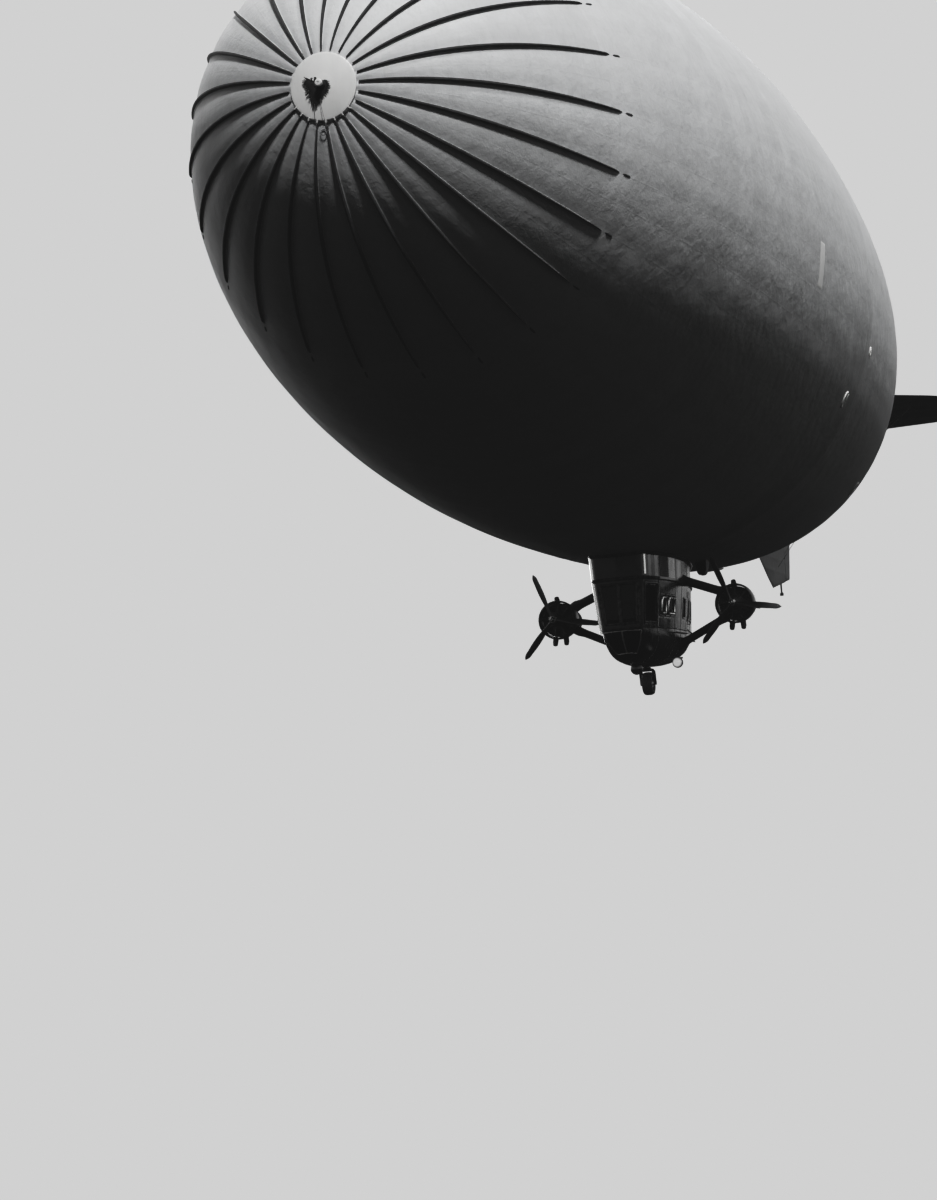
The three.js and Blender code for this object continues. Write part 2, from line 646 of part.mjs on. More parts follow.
function propeller() {
  const hubAft = ENGINE.aft - PROPELLER.ahead;
  let body = solid(turned([
    [hubAft - 0.22, 0], [hubAft - 0.2, 0.05], [hubAft - 0.1, 0.11], [hubAft + 0.1, 0.12],
    [ENGINE.aft - 0.86 - SEAT / METRE, 0.09], [ENGINE.aft - 0.86 - SEAT / METRE, 0],
  ], 16));
  for (let i = 0; i < PROPELLER.blades; i += 1) {
    const blade = solid(loft(BLADE.map(bladeSection))).rotate([i * 360 / PROPELLER.blades + 20, 0, 0]);
    body = body.add(blade.translate([x(hubAft), 0, 0]));
  }
  return body;
}

// A streamlined outrigger between the car's side and the nacelle.
function outrigger(row, side, carGrown, nacelleGrown) {
  const shape = [[0.5, 0], [0.3, 0.5], [-0.1, 0.42], [-0.5, 0], [-0.1, -0.42], [0.3, -0.5]];
  const rings = [row.inboard, row.outboard].map(([out, up]) => shape.map(([along, away]) => (
    new THREE.Vector3(
      x(ENGINE.aft + OUTRIGGER_BEHIND) + along * row.chord * METRE,
      side * out * METRE,
      (up + away * row.thick) * METRE))));
  return solid(loft(rings)).subtract(carGrown).subtract(nacelleGrown);
}

const carGrown = carForm(-SEAT / METRE);
for (const [name, side] of [['port', 1], ['starboard', -1]]) {
  const place = [0, side * ENGINE.out * METRE, ENGINE.up * METRE];
  const nacelle = solid(turned(NACELLE, 18)).translate(place);
  const room = SEAT * 1.2 / METRE;
  const wider = NACELLE.map(([aft, radius]) => [aft, radius ? radius + room : 0]);
  const nacelleGrown = solid(turned(wider, 18)).translate(place);
  add(`nacelle_${name}`, nacelle, carGrey);
  add(`cowl_ring_${name}`, cowlRing(side), dark);
  add(`engine_${name}`, radialEngine().translate(place), steel);
  add(`propeller_${name}`, propeller().translate(place), dark);
  for (const row of OUTRIGGERS) {
    add(`${row.name}_${name}`, outrigger(row, side, carGrown, nacelleGrown), carGrey);
  }
}

// Landing gear: a leg in the car's belly, a castering fork and one wheel
const crownTop = FORK.crown + FORK.thick;
const leg = solid(post(WHEEL.aft, 0, crownTop + SEAT / METRE, -12.1, 0.13, 16));
add('gear_leg', leg.subtract(carGrown), steel);
const axleAft = WHEEL.aft + WHEEL.trail;
let fork = solid(block([WHEEL.aft - 0.14, -FORK.inside - FORK.arm, FORK.crown],
  [axleAft + 0.08, FORK.inside + FORK.arm, crownTop]));
for (const side of [-1, 1]) {
  fork = fork.add(solid(block([axleAft - 0.06, side * FORK.inside, WHEEL.axle - 0.07],
    [axleAft + 0.07, side * (FORK.inside + FORK.arm), crownTop])));
}
fork = fork.add(solid(crossBar(axleAft, WHEEL.axle, -FORK.inside - 0.01, FORK.inside + 0.01, AXLE, 16)));
add('wheel_fork', fork, steel);

// A wheel part turned about its axle: profile rows are [across, radius] in real metres.
function wheelPart(profile, sides) {
  const points = profile.map(([across, radius]) => new THREE.Vector2(radius * METRE, across * METRE));
  const part = new THREE.LatheGeometry(points, sides);
  part.translate(x(axleAft), 0, WHEEL.axle * METRE);
  return part;
}

const rimRadius = 0.2;
const bore = AXLE + 0.6 / METRE;
const halfWheel = WHEEL.width / 2;
add('wheel_hub', wheelPart([
  [-0.18, bore], [-0.18, 0.07], [-0.13, 0.09], [-0.12, rimRadius], [0.12, rimRadius], [0.13, 0.09],
  [0.18, 0.07], [0.18, bore], [-0.18, bore],
], 24), look(0x9a9c9c, 0.5, 0.5));
const tyreInside = rimRadius + SEAT * 1.3 / METRE;
add('tyre', wheelPart([
  [-0.12, tyreInside], [-halfWheel, rimRadius + 0.08], [-halfWheel * 0.9, WHEEL.radius - 0.06],
  [-halfWheel * 0.5, WHEEL.radius - 0.01], [0, WHEEL.radius], [halfWheel * 0.5, WHEEL.radius - 0.01],
  [halfWheel * 0.9, WHEEL.radius - 0.06], [halfWheel, rimRadius + 0.08], [0.12, tyreInside],
  [-0.12, tyreInside],
], 24), look(0x1b1b1b, 0.9));

// Under the car: a landing lamp on a bracket to port and a round aerial pod on the centre line
function ball(aft, port, up, radius, across = 12, around = 8) {
  const form = new THREE.SphereGeometry(radius * METRE, across, around);
  form.rotateX(Math.PI / 2);
  form.translate(x(aft), port * METRE, up * METRE);
  return solid(form);
}

const LAMP = { aft: 29.6, port: 1.34, up: -12.4, radius: 0.17 };
const lampArm = solid(block([LAMP.aft + 0.02, 0.3, -12.3], [LAMP.aft + 0.1, LAMP.port, -12.24]))
  .add(solid(post(LAMP.aft + 0.06, LAMP.port - 0.02, -12.4, -12.24, 0.03, 8)));
add('landing_lamp', ball(LAMP.aft, LAMP.port, LAMP.up, LAMP.radius).add(lampArm).subtract(carGrown),
  look(0xe6e6e0, 0.3));
const POD = { aft: 29.25, up: -12.5, radius: 0.21 };
const podStem = solid(post(POD.aft, 0, POD.up, -12.2, 0.07, 10));
add('aerial_pod', ball(POD.aft, 0, POD.up, POD.radius).add(podStem).subtract(carGrown), dark);
const SIDE_LIGHT = { aft: 31.55, out: 1.62, up: -10.66, radius: 0.075 };
const lightArm = solid(crossBar(SIDE_LIGHT.aft, SIDE_LIGHT.up, -SIDE_LIGHT.out, -0.9, 0.02, 8));
add('side_light', ball(SIDE_LIGHT.aft, -SIDE_LIGHT.out, SIDE_LIGHT.up, SIDE_LIGHT.radius, 10, 6)
  .add(lightArm).subtract(carGrown), dark);

// Air scoops on the hull's belly behind the engines, mouths forward
const SCOOP = { aft: 35.2, port: 1.48, half: 0.2, low: -9.2, length: 1.3, wall: 0.04 };
for (const [name, side] of [['port', 1], ['starboard', -1]]) {
  const section = (aft, low, half) => [[-half, -8.2], [-half, low + 0.1], [-half * 0.5, low],
    [half * 0.5, low], [half, low + 0.1], [half, -8.2]]
    .map(([out, up]) => new THREE.Vector3(x(aft), (side * SCOOP.port + out) * METRE, up * METRE));
  const outside = solid(loft([
    section(SCOOP.aft, SCOOP.low, SCOOP.half), section(SCOOP.aft + 0.5, SCOOP.low, SCOOP.half),
    section(SCOOP.aft + SCOOP.length, -8.5, SCOOP.half * 0.7),
  ]));
  const thin = SCOOP.wall;
  const inside = solid(loft([
    section(SCOOP.aft - 0.1, SCOOP.low + thin, SCOOP.half - thin),
    section(SCOOP.aft + 0.5, SCOOP.low + thin, SCOOP.half - thin),
    section(SCOOP.aft + SCOOP.length - 0.2, -8.4, SCOOP.half * 0.5),
  ]));
  add(`air_scoop_${name}`, outside.subtract(inside).subtract(hullForCutting), carGrey);
}

export default airship;
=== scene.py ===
"""Looks for a two-engined patrol airship: hull fabric, nose fan, tail, control car, engines, wheel."""

import math

import bpy
import numpy as np
from mathutils import Matrix, Vector


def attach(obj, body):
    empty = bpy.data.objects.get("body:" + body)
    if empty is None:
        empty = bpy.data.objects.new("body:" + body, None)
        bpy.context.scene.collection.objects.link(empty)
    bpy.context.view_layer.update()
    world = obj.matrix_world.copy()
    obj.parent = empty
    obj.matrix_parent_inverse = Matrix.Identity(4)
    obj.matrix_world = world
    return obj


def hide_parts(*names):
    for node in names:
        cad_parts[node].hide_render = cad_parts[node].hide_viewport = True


bl_info = {
    "name": "Patrol Airship Dressing",
    "version": (1, 0, 0),
    "blender": (4, 5, 0),
    "location": "View3D > Sidebar > Airship",
    "description": "Builds the visible surfaces and finishes of a patrol airship around its frame",
    "category": "Object",
}

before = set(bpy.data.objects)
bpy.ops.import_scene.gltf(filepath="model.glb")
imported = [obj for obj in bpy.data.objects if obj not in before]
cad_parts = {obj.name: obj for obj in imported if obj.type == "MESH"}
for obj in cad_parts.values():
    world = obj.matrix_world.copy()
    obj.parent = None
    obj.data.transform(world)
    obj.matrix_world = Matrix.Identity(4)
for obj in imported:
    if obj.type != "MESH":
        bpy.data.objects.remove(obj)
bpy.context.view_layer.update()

# Places are given in the real ship's metres: aft of the nose tip, to port and up from the axis.
SCALE = 0.5
LIFT_CENTRE = 34.6

# Hull
LENGTH = 76.7
RADIUS = 8.815
FULLEST = 0.44 * LENGTH
NOSE_POWER, NOSE_ROOT = 2.36, 0.47
TAIL_POWER, TAIL_ROOT = 2.17, 0.87
NOSE_OPENING = 0.45
CAP_RADIUS, BOLT_RADIUS = 0.77, 0.73
SPINDLE_TIP = -0.3406
BATTEN_START, BATTEN_TIP = 0.8, 5.45
STRIP_SINK = 0.02

# Tail surfaces: heights are distances from the hull's axis
TAIL = {
    "upper": dict(turn=0, lead=(58.9, 4.0, 64.3, 8.95), hinge=71.15, tip=8.75, root=2.92,
                  trail=(74.4, 8.6, 75.5, 2.1), flap="rudder_upper", body="upper_rudder"),
    "lower": dict(turn=180, lead=(55.0, 5.0, 64.4, 8.3), hinge=69.3, tip=7.82, root=3.56,
                  trail=(71.0, 7.62, 74.4, 1.8), flap="rudder_lower", body="lower_rudder"),
    "port": dict(turn=90, lead=(58.9, 4.0, 64.3, 8.95), hinge=71.15, tip=8.75, root=2.92,
                 trail=(74.4, 8.6, 75.5, 2.1), flap="elevator_port", body="port_elevator"),
    "starboard": dict(turn=-90, lead=(58.9, 4.0, 64.3, 8.95), hinge=71.15, tip=8.75, root=2.92,
                      trail=(74.4, 8.6, 75.5, 2.1), flap="elevator_starboard",
                      body="starboard_elevator"),
}
LUG_SHARES = (0.3, 0.72)
LUG_NOTCH = 0.075
SKID_AFT = 67.6

# Control car: stations aft of its bow, half breadth at the shoulder, height of the keel
CAR_BOW = 27.3
CAR_STATION = np.array([0.0, 0.3, 1.0, 2.0, 3.0, 4.2, 6.2, 8.6, 10.6, 12.2])
CAR_HALF = np.array([0.72, 0.84, 1.0, 1.15, 1.24, 1.28, 1.2, 0.92, 0.52, 0.16])
CAR_KEEL = np.array([-11.75, -11.95, -12.24, -12.38, -12.42, -12.42, -12.35, -12.0, -11.55, -11.0])
CAR_WAIST = -11.2
CAR_SHOULDER = -9.6
WALL_TOP = -8.6
HULL_SEAM = -8.2
STERN_CORNER, CAR_END = 11.95, 12.2
BOW_ROUNDING = 1.2
# The chin window: columns to each side of the bow's middle, and rows below the waist
CHIN_COLUMNS = 10
CHIN_ROWS = (2, 21)
SIDE_WINDOWS = ((1.75, 2.25), (2.4, 2.9), (3.05, 3.55), (5.35, 5.95), (7.9, 8.4), (8.6, 9.1))
SIDE_SCREEN = (0.34, 1.42)
WINDOW_HEIGHTS = (-10.78, -10.1)
SCREEN_HEIGHTS = (-11.02, -9.74)
PANE_WALL = 0.005
DOOR = dict(start=6.75, end=7.5, low=-11.19, high=-9.62, window=(6.92, 7.33), gap=0.011)
RAIL_UP = -11.32
HINGE = dict(station=6.7445, shoulder=1.162, waist=0.98, radius=0.014)

# Engines
ENGINE_AFT, ENGINE_OUT, ENGINE_UP = 31.9, 3.13, -10.5
PROPELLER_AHEAD = 0.98
SIDES = {"port": 1, "starboard": -1}

# Camera: yaw, pitch and roll in degrees, place in the ship's metres, and focal length in pixels of a
# picture of that height
CAMERA_TURN = (15.23, 3.45, -4.70)
CAMERA_PLACE = (-47.37, 15.22, -14.43)
FOCAL_PIXELS, PICTURE_PIXELS = 2319.5, 1200.0

# How light in the scene comes out in the print: pairs of light and tone
PRINT_TONES = ((0.05, 0.044), (0.1, 0.083), (0.27, 0.295), (0.42, 0.49), (0.62, 0.665))

# Landing wheel
CASTER_AFT = 31.0
AXLE_AFT, AXLE_UP = 31.1, -13.0

# Small fittings: the lamp, the pod under the car and the side light
LAMP = (29.6, 1.34, -12.4)
POD = (29.25, 0, -12.5)
LIGHT = (31.55, -1.62, -10.66)


# Points and forms


def place(aft, port, up):
    """Model points for places in real metres: X is forward of the lift centre, Y port, Z up."""
    aft, port, up = np.broadcast_arrays(aft, port, up)
    return np.stack([(LIFT_CENTRE - aft) * SCALE, port * SCALE, up * SCALE], axis=-1).astype(float)


def unit(vectors):
    """Vectors scaled to length 1."""
    return vectors / np.maximum(np.linalg.norm(vectors, axis=-1, keepdims=True), 1e-12)


def smooth(x, knots, values):
    """A cubic through knots whose slope at each is the mean of its two neighbours' slopes."""
    slopes = np.gradient(values, knots)
    i = np.clip(np.searchsorted(knots, x, side="right") - 1, 0, len(knots) - 2)
    step = knots[i + 1] - knots[i]
    t = np.clip((x - knots[i]) / step, 0, 1)
    return (values[i] * (1 + 2 * t) * (1 - t) ** 2 + slopes[i] * step * t * (1 - t) ** 2
            + values[i + 1] * t * t * (3 - 2 * t) + slopes[i + 1] * step * t * t * (t - 1))


def volume(points, faces):
    """Signed volume: the sum of the tetrahedra from the middle to each face's fan of triangles."""
    points = points - points.mean(0)
    total = 0.0
    for group in faces:
        first = points[group[:, 0]]
        for k in range(1, group.shape[1] - 1):
            total += np.sum(first * np.cross(points[group[:, k]], points[group[:, k + 1]]))
    return total


class Form:
    """Points and faces of one mesh, gathered shape by shape."""

    def __init__(self):
        self.points, self.faces, self.count = [], [], 0

    def add(self, points, faces, closed=True):
        """Adds a shape; a closed one whose signed volume is negative is turned outwards."""
        points = np.asarray(points, float).reshape(-1, 3)
        if closed and volume(points, faces) < 0:
            faces = [group[:, ::-1] for group in faces]
        self.points.append(points)
        self.faces += [group + self.count for group in faces]
        self.count += len(points)
        return self

    def grid(self, points, around=True, ring=False, caps=True, closed=True, keep=None):
        """Quads between neighbours of points[i, j]. around joins the last j to the first, ring the
        last i to the first, and caps close the first and last i."""
        rows, columns = points.shape[:2]
        i, j = np.meshgrid(np.arange(rows if ring else rows - 1),
                           np.arange(columns if around else columns - 1), indexing="ij")
        i2, j2 = (i + 1) % rows, (j + 1) % columns
        quads = np.stack([i * columns + j, i * columns + j2, i2 * columns + j2, i2 * columns + j], -1)
        quads = quads[keep] if keep is not None else quads.reshape(-1, 4)
        faces = [quads]
        if caps and not ring:
            faces.append(np.arange(columns)[None, ::-1])
            faces.append((np.arange(columns) + (rows - 1) * columns)[None])
        return self.add(points, faces, closed)

    def hoop(self, path, radius, sides=8, flat=1.0, up=(0, 1, 0)):
        """A tube round a closed path."""
        return self.grid(tube(path, radius, sides, flat, up, True), ring=True, caps=False)

    def copies(self, shape, frames, places):
        """The same small shape at many places, each turned by its own 3 x 3 frame (columns are the
        shape's x, y and z)."""
        points, faces = np.concatenate(shape.points), shape.faces
        spots = np.einsum("nij,mj->nmi", frames, points) + places[:, None, :]
        steps = np.arange(len(places))[:, None, None] * len(points)
        return self.add(spots, [(g[None] + steps).reshape(-1, g.shape[1]) for g in faces], False)


def turns(count):
    """Angles that share a full turn out evenly."""
    return np.arange(count) * 2 * np.pi / count


def tube(path, radius, sides=10, flat=1.0, up=(0, 0, 1), closed=False):
    """Rings round a path, open or closed: centre + radius (cos a . side + flat . sin a . other), with
    the side square to the path and to up."""
    path = np.asarray(path, float)
    along = unit(np.roll(path, -1, 0) - np.roll(path, 1, 0) if closed else np.gradient(path, axis=0))
    side = unit(np.cross(along, np.asarray(up, float)))
    other = np.cross(side, along)
    angle = turns(sides)
    radius = np.broadcast_to(radius, len(path))[:, None, None]
    return path[:, None] + radius * (np.cos(angle)[None, :, None] * side[:, None]
                                     + flat * np.sin(angle)[None, :, None] * other[:, None])


def lathe(profile, sides, centre=(0, 0, 0), axis="x"):
    """Rings [along, radius] about a line through the centre: (along, r cos a, r sin a)."""
    profile = np.asarray(profile, float)
    angle = turns(sides)
    along = np.broadcast_to(profile[:, :1], (len(profile), sides))
    c, s = profile[:, 1:] * np.cos(angle), profile[:, 1:] * np.sin(angle)
    order = {"x": (along, c, s), "y": (c, along, s), "z": (c, s, along)}[axis]
    return np.stack(order, axis=-1) + np.asarray(centre, float)


def ship_lathe(profile, sides, port=0.0, up=0.0):
    """A lathe about a fore-and-aft line; the profile lists [aft, radius] in real metres."""
    profile = np.asarray(profile, float)
    rows = np.column_stack([(LIFT_CENTRE - profile[:, 0]) * SCALE, profile[:, 1] * SCALE])
    return lathe(rows, sides, (0, port * SCALE, up * SCALE))


def ball(centre, radius, across=16, around=24, axis="z"):
    """A sphere as a lathe of a half circle that stops just short of its poles."""
    angle = np.linspace(0.06, np.pi - 0.06, across)
    return lathe(np.column_stack([-np.cos(angle), np.sin(angle)]) * radius, around, centre, axis)


def slab(centre, half, power=4.0, rows=10, columns=24):
    """A rounded block: the superellipsoid |x|^p + |y|^p + |z|^p = 1 stretched to its half sizes."""
    v = np.linspace(-0.96, 0.96, rows) * np.pi / 2
    u = turns(columns)
    shape = lambda w: np.sign(w) * np.abs(w) ** (2 / power)
    x = shape(np.cos(v))[:, None] * shape(np.cos(u))
    y = shape(np.cos(v))[:, None] * shape(np.sin(u))
    z = np.broadcast_to(shape(np.sin(v))[:, None], x.shape)
    return np.stack([x, y, z], -1) * np.asarray(half, float) + np.asarray(centre, float)


def ring_places(aft, radius, clock, port=0.0, up=0.0):
    """Model points round a fore-and-aft line, at clock angles from the top towards port."""
    return place(aft, port + radius * np.sin(clock), up + radius * np.cos(clock))


def frames_from(normals, along=(1, 0, 0)):
    """3 x 3 frames whose z is the normal and whose x lies nearest to along."""
    z = unit(np.asarray(normals, float))
    y = unit(np.cross(z, np.broadcast_to(along, z.shape)))
    return np.stack([np.cross(y, z), y, z], axis=-1)


def frames_ahead(count):
    """Frames whose z points ahead."""
    return frames_from(np.tile([[1.0, 0, 0]], (count, 1)), (0, 0, 1))


def frames_outward(clock):
    """Frames whose z points away from a fore-and-aft line."""
    return frames_from(np.column_stack([0 * clock, np.sin(clock), np.cos(clock)]))


def stud(radius, rings):
    """A six-sided rivet or nut: rings of [radius, height], as shares of its own radius."""
    angle = turns(6)
    points = np.stack([np.column_stack([np.cos(angle) * r, np.sin(angle) * r, np.full(6, h)])
                       for r, h in rings]) * radius
    return Form().grid(points)


def rivet(radius):
    """A low dome."""
    return stud(radius, ((1.0, -0.2), (0.85, 0.315), (0.4, 0.45)))


def nut(radius):
    """A hexagon with a chamfered top."""
    return stud(radius, ((1.0, -0.2), (1.0, 0.64), (0.8, 0.8)))


def piece(name, form, look, replaces=(), body="hull", crease=38.0, wall=0.0):
    """Makes the object in one of the LOOKS, smooth except at creases, gives it its body and hides
    the CAD nodes that it replaces."""
    mesh = bpy.data.meshes.new(name)
    faces = [face for group in form.faces for face in group.tolist()]
    mesh.from_pydata(np.concatenate(form.points).tolist(), [], faces)
    mesh.update()
    mesh.polygons.foreach_set("use_smooth", np.ones(len(mesh.polygons), bool))
    mesh.set_sharp_from_angle(angle=math.radians(crease))
    mesh.materials.append(LOOKS[look])
    made = bpy.data.objects.new(name, mesh)
    bpy.context.scene.collection.objects.link(made)
    if wall:
        solid = made.modifiers.new("wall", "SOLIDIFY")
        solid.thickness, solid.offset, solid.use_even_offset = wall, -1.0, True
    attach(made, body)
    if replaces:
        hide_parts(*replaces)
    return made


# Hull geometry


def hull_radius(aft):
    """R (1 - share^power)^root, where share is the way from the fullest section to that end."""
    aft = np.asarray(aft, float)
    ahead = np.clip((FULLEST - aft) / FULLEST, 0, 1)
    behind = np.clip((aft - FULLEST) / (LENGTH - FULLEST), 0, 1)
    return RADIUS * np.where(aft < FULLEST, (1 - ahead ** NOSE_POWER) ** NOSE_ROOT,
                             (1 - behind ** TAIL_POWER) ** TAIL_ROOT)


def aft_of_radius(radius):
    """Where the nose half of the hull has the given radius."""
    inner = np.clip(1 - (np.asarray(radius, float) / RADIUS) ** (1 / NOSE_ROOT), 0, 1)
    return FULLEST * (1 - inner ** (1 / NOSE_POWER))


def hull_outline(share):
    """Aft place along the outline: the nose half runs as 1 - cos, the tail half as sin."""
    share = np.asarray(share, float)
    return np.where(share < 0.5, FULLEST * (1 - np.cos(share * np.pi)),
                    FULLEST + (LENGTH - FULLEST) * np.sin((share - 0.5) * np.pi))


def outline_share(aft):
    """The share of the outline at which the hull has come that far aft."""
    aft = np.asarray(aft, float)
    nose = np.arccos(np.clip(1 - aft / FULLEST, -1, 1)) / np.pi
    tail = 0.5 + np.arcsin(np.clip((aft - FULLEST) / (LENGTH - FULLEST), 0, 1)) / np.pi
    return np.where(aft < FULLEST, nose, tail)


def on_hull(aft, clock, lift=0.0):
    """A point at an angle from the crest towards port, lifted off the skin along its normal."""
    share = np.clip(outline_share(aft), 2e-3, 1 - 2e-3)
    low, high = hull_outline(share - 1e-4), hull_outline(share + 1e-4)
    run, rise = high - low, hull_radius(high) - hull_radius(low)
    length = np.hypot(run, rise)
    radius = hull_radius(aft) + lift * run / length
    return place(aft - lift * rise / length, radius * np.sin(clock), radius * np.cos(clock))


def hull_normal(aft, clock):
    """The outward direction of the skin."""
    return unit(on_hull(aft, clock, 0.5) - on_hull(aft, clock, 0.0))


def strip_on_hull(aft, clock, half_width, height, shape):
    """A raised strip: at each step along it, points at across . half_width to the side and at
    rise . height above the skin, or sunk below it where rise is negative. across moves the clock
    angle by its share of the radius."""
    across, rise = np.asarray(shape, float).T
    aft, clock = np.broadcast_arrays(np.asarray(aft, float), np.asarray(clock, float))
    radius = np.maximum(hull_radius(aft), 0.05)
    angle = clock[:, None] + (half_width[:, None] * across) / radius[:, None]
    lift = height[:, None] * rise - STRIP_SINK * (rise < 0)
    return on_hull(np.broadcast_to(aft[:, None], angle.shape), angle, lift)


# Materials


class Tree:
    """Adds nodes to a material or a group and joins them."""

    def __init__(self, tree):
        self.tree = tree

    def feed(self, node, values):
        """Joins each named input to a socket, or sets it to a plain value."""
        for key, value in values.items():
            socket = node.inputs[key]
            if isinstance(value, bpy.types.NodeSocket):
                self.tree.links.new(value, socket)
            else:
                socket.default_value = value
        return node

    def node(self, kind, values=None, **settings):
        node = self.tree.nodes.new(kind)
        for key, value in settings.items():
            setattr(node, key, value)
        return self.feed(node, values or {})

    def math(self, operation, *values, clamp=False):
        node = self.node("ShaderNodeMath", dict(enumerate(values)), operation=operation,
                         use_clamp=clamp)
        return node.outputs[0]

    def times(self, a, b, clamp=False):
        return self.math("MULTIPLY", a, b, clamp=clamp)

    def plus(self, a, b):
        return self.math("ADD", a, b)

    def mix(self, factor, a, b):
        return self.node("ShaderNodeMix", {0: factor, 6: a, 7: b}, data_type="RGBA").outputs[2]

    def noise(self, vector, scale, detail=4.0, roughness=0.55):
        return self.node("ShaderNodeTexNoise", {"Vector": vector, "Scale": scale, "Detail": detail,
                                                "Roughness": roughness}).outputs["Fac"]

    def spread(self, value, low, high):
        node = self.node("ShaderNodeMapRange", {"Value": value, "From Min": low, "From Max": high})
        return node.outputs[0]

    def stretched(self, vector, scale):
        return self.node("ShaderNodeMapping", {"Vector": vector, "Scale": scale}).outputs[0]

    def group(self, name, values):
        return self.node("ShaderNodeGroup", values, node_tree=bpy.data.node_groups[name]).outputs


def new_group(name, inputs, outputs):
    """An empty shader node group, the sockets that it is given and the node that takes its results."""
    tree = bpy.data.node_groups.new(name, "ShaderNodeTree")
    kinds = {"v": "NodeSocketVector", "f": "NodeSocketFloat", "c": "NodeSocketColor"}
    for key, kind, default in inputs:
        socket = tree.interface.new_socket(name=key, in_out="INPUT", socket_type=kinds[kind])
        if default is not None:
            socket.default_value = default
    for key, kind in outputs:
        tree.interface.new_socket(name=key, in_out="OUTPUT", socket_type=kinds[kind])
    maker = Tree(tree)
    return maker, maker.node("NodeGroupInput").outputs, maker.node("NodeGroupOutput")


def build_groups():
    """Effects that several finishes share."""
    # Weathering: cloudy mottling, streaks that run down, and scattered specks
    t, i, o = new_group("Weathering", [("Vector", "v", None), ("Scale", "f", 2.0)],
                        [("Mottle", "f"), ("Streaks", "f"), ("Specks", "f")])
    scaled = t.node("ShaderNodeVectorMath", {0: i["Vector"], "Scale": i["Scale"]},
                    operation="SCALE").outputs[0]
    mottle = t.spread(t.noise(scaled, 1.0, 6.0, 0.6), 0.32, 0.68)
    streaks = t.spread(t.noise(t.stretched(scaled, (6.0, 6.0, 0.45)), 1.0, 5.0, 0.6), 0.5, 0.72)
    specks = t.spread(t.noise(scaled, 18.0, 2.0, 0.5), 0.66, 0.74)
    t.feed(o, {"Mottle": mottle, "Streaks": streaks, "Specks": specks})

    # Surface grain: fine unevenness for roughness and relief
    t, i, o = new_group("Surface grain", [("Vector", "v", None), ("Scale", "f", 60.0)],
                        [("Grain", "f")])
    t.feed(o, {"Grain": t.noise(i["Vector"], i["Scale"], 3.0, 0.6)})

    # Weave: two crossed sets of threads
    t, i, o = new_group("Weave", [("Vector", "v", None), ("Threads", "f", 40.0)], [("Height", "f")])
    parts = t.node("ShaderNodeSeparateXYZ", {0: i["Vector"]}).outputs
    warp = t.math("SINE", t.times(parts["X"], i["Threads"]))
    weft = t.math("SINE", t.times(t.plus(parts["Y"], parts["Z"]), i["Threads"]))
    t.feed(o, {"Height": t.times(warp, weft)})

    # Edge wear: convex edges broken up by noise
    t, i, o = new_group("Edge wear", [("Vector", "v", None), ("Amount", "f", 0.5)], [("Mask", "f")])
    point = t.node("ShaderNodeNewGeometry").outputs["Pointiness"]
    edge = t.spread(point, 0.52, 0.6)
    broken = t.spread(t.noise(i["Vector"], 14.0, 5.0, 0.65), 0.42, 0.62)
    mask = t.times(t.times(edge, broken), i["Amount"], clamp=True)
    t.feed(o, {"Mask": mask})

    # Gore seams: rings every so far along and gores round the hull, each panel with its own tone
    t, i, o = new_group(
        "Gore seams",
        [("Vector", "v", None), ("Ring spacing", "f", 1.1), ("Gores", "f", 24.0), ("Tape", "f", 0.03)],
        [("Seam", "f"), ("Tone", "f"), ("Roll", "f")])
    parts = t.node("ShaderNodeSeparateXYZ", {0: i["Vector"]}).outputs
    radius = t.math("SQRT", t.plus(t.math("POWER", parts["Y"], 2.0),
                                   t.math("POWER", parts["Z"], 2.0)))
    lap = t.math("DIVIDE", t.math("ARCTAN2", parts["Y"], parts["Z"]), 2 * math.pi)
    gore = t.times(lap, i["Gores"])
    ring = t.math("DIVIDE", parts["X"], i["Ring spacing"])
    gore_off = t.math("ABSOLUTE", t.math("SUBTRACT", t.math("FRACT", gore), 0.5))
    ring_off = t.math("ABSOLUTE", t.math("SUBTRACT", t.math("FRACT", ring), 0.5))
    arc = t.math("DIVIDE", t.times(radius, 2 * math.pi), i["Gores"])
    gore_gap = t.times(t.math("SUBTRACT", 0.5, gore_off), arc)
    ring_gap = t.times(t.math("SUBTRACT", 0.5, ring_off), i["Ring spacing"])
    near = t.math("MINIMUM", gore_gap, ring_gap)
    seam = t.math("SUBTRACT", 1.0, t.math("DIVIDE", near, i["Tape"], clamp=True), clamp=True)
    cell = t.node("ShaderNodeCombineXYZ", {"X": t.math("FLOOR", ring), "Y": t.math("FLOOR", gore),
                                           "Z": 0.0}).outputs[0]
    tone = t.node("ShaderNodeTexWhiteNoise", {"Vector": cell}, noise_dimensions="3D").outputs[0]
    roll = t.node("ShaderNodeTexWhiteNoise", {"W": t.math("FLOOR", ring)},
                  noise_dimensions="1D").outputs[0]
    t.feed(o, {"Seam": seam, "Tone": tone, "Roll": roll})


def grey(tone):
    """A grey with full alpha."""
    return (tone, tone, tone, 1.0)


def shade(colour, factor):
    """A colour made lighter or darker, with full alpha."""
    return tuple(min(c * factor, 1.0) for c in colour[:3]) + (1.0,)


def new_material(name):
    """A material with its shader, ready for links, and object coordinates."""
    material = bpy.data.materials.new(name)
    material.use_nodes = True
    tree = Tree(material.node_tree)
    shader = material.node_tree.nodes["Principled BSDF"]
    where = tree.node("ShaderNodeTexCoord").outputs["Object"]
    return material, tree, shader, where


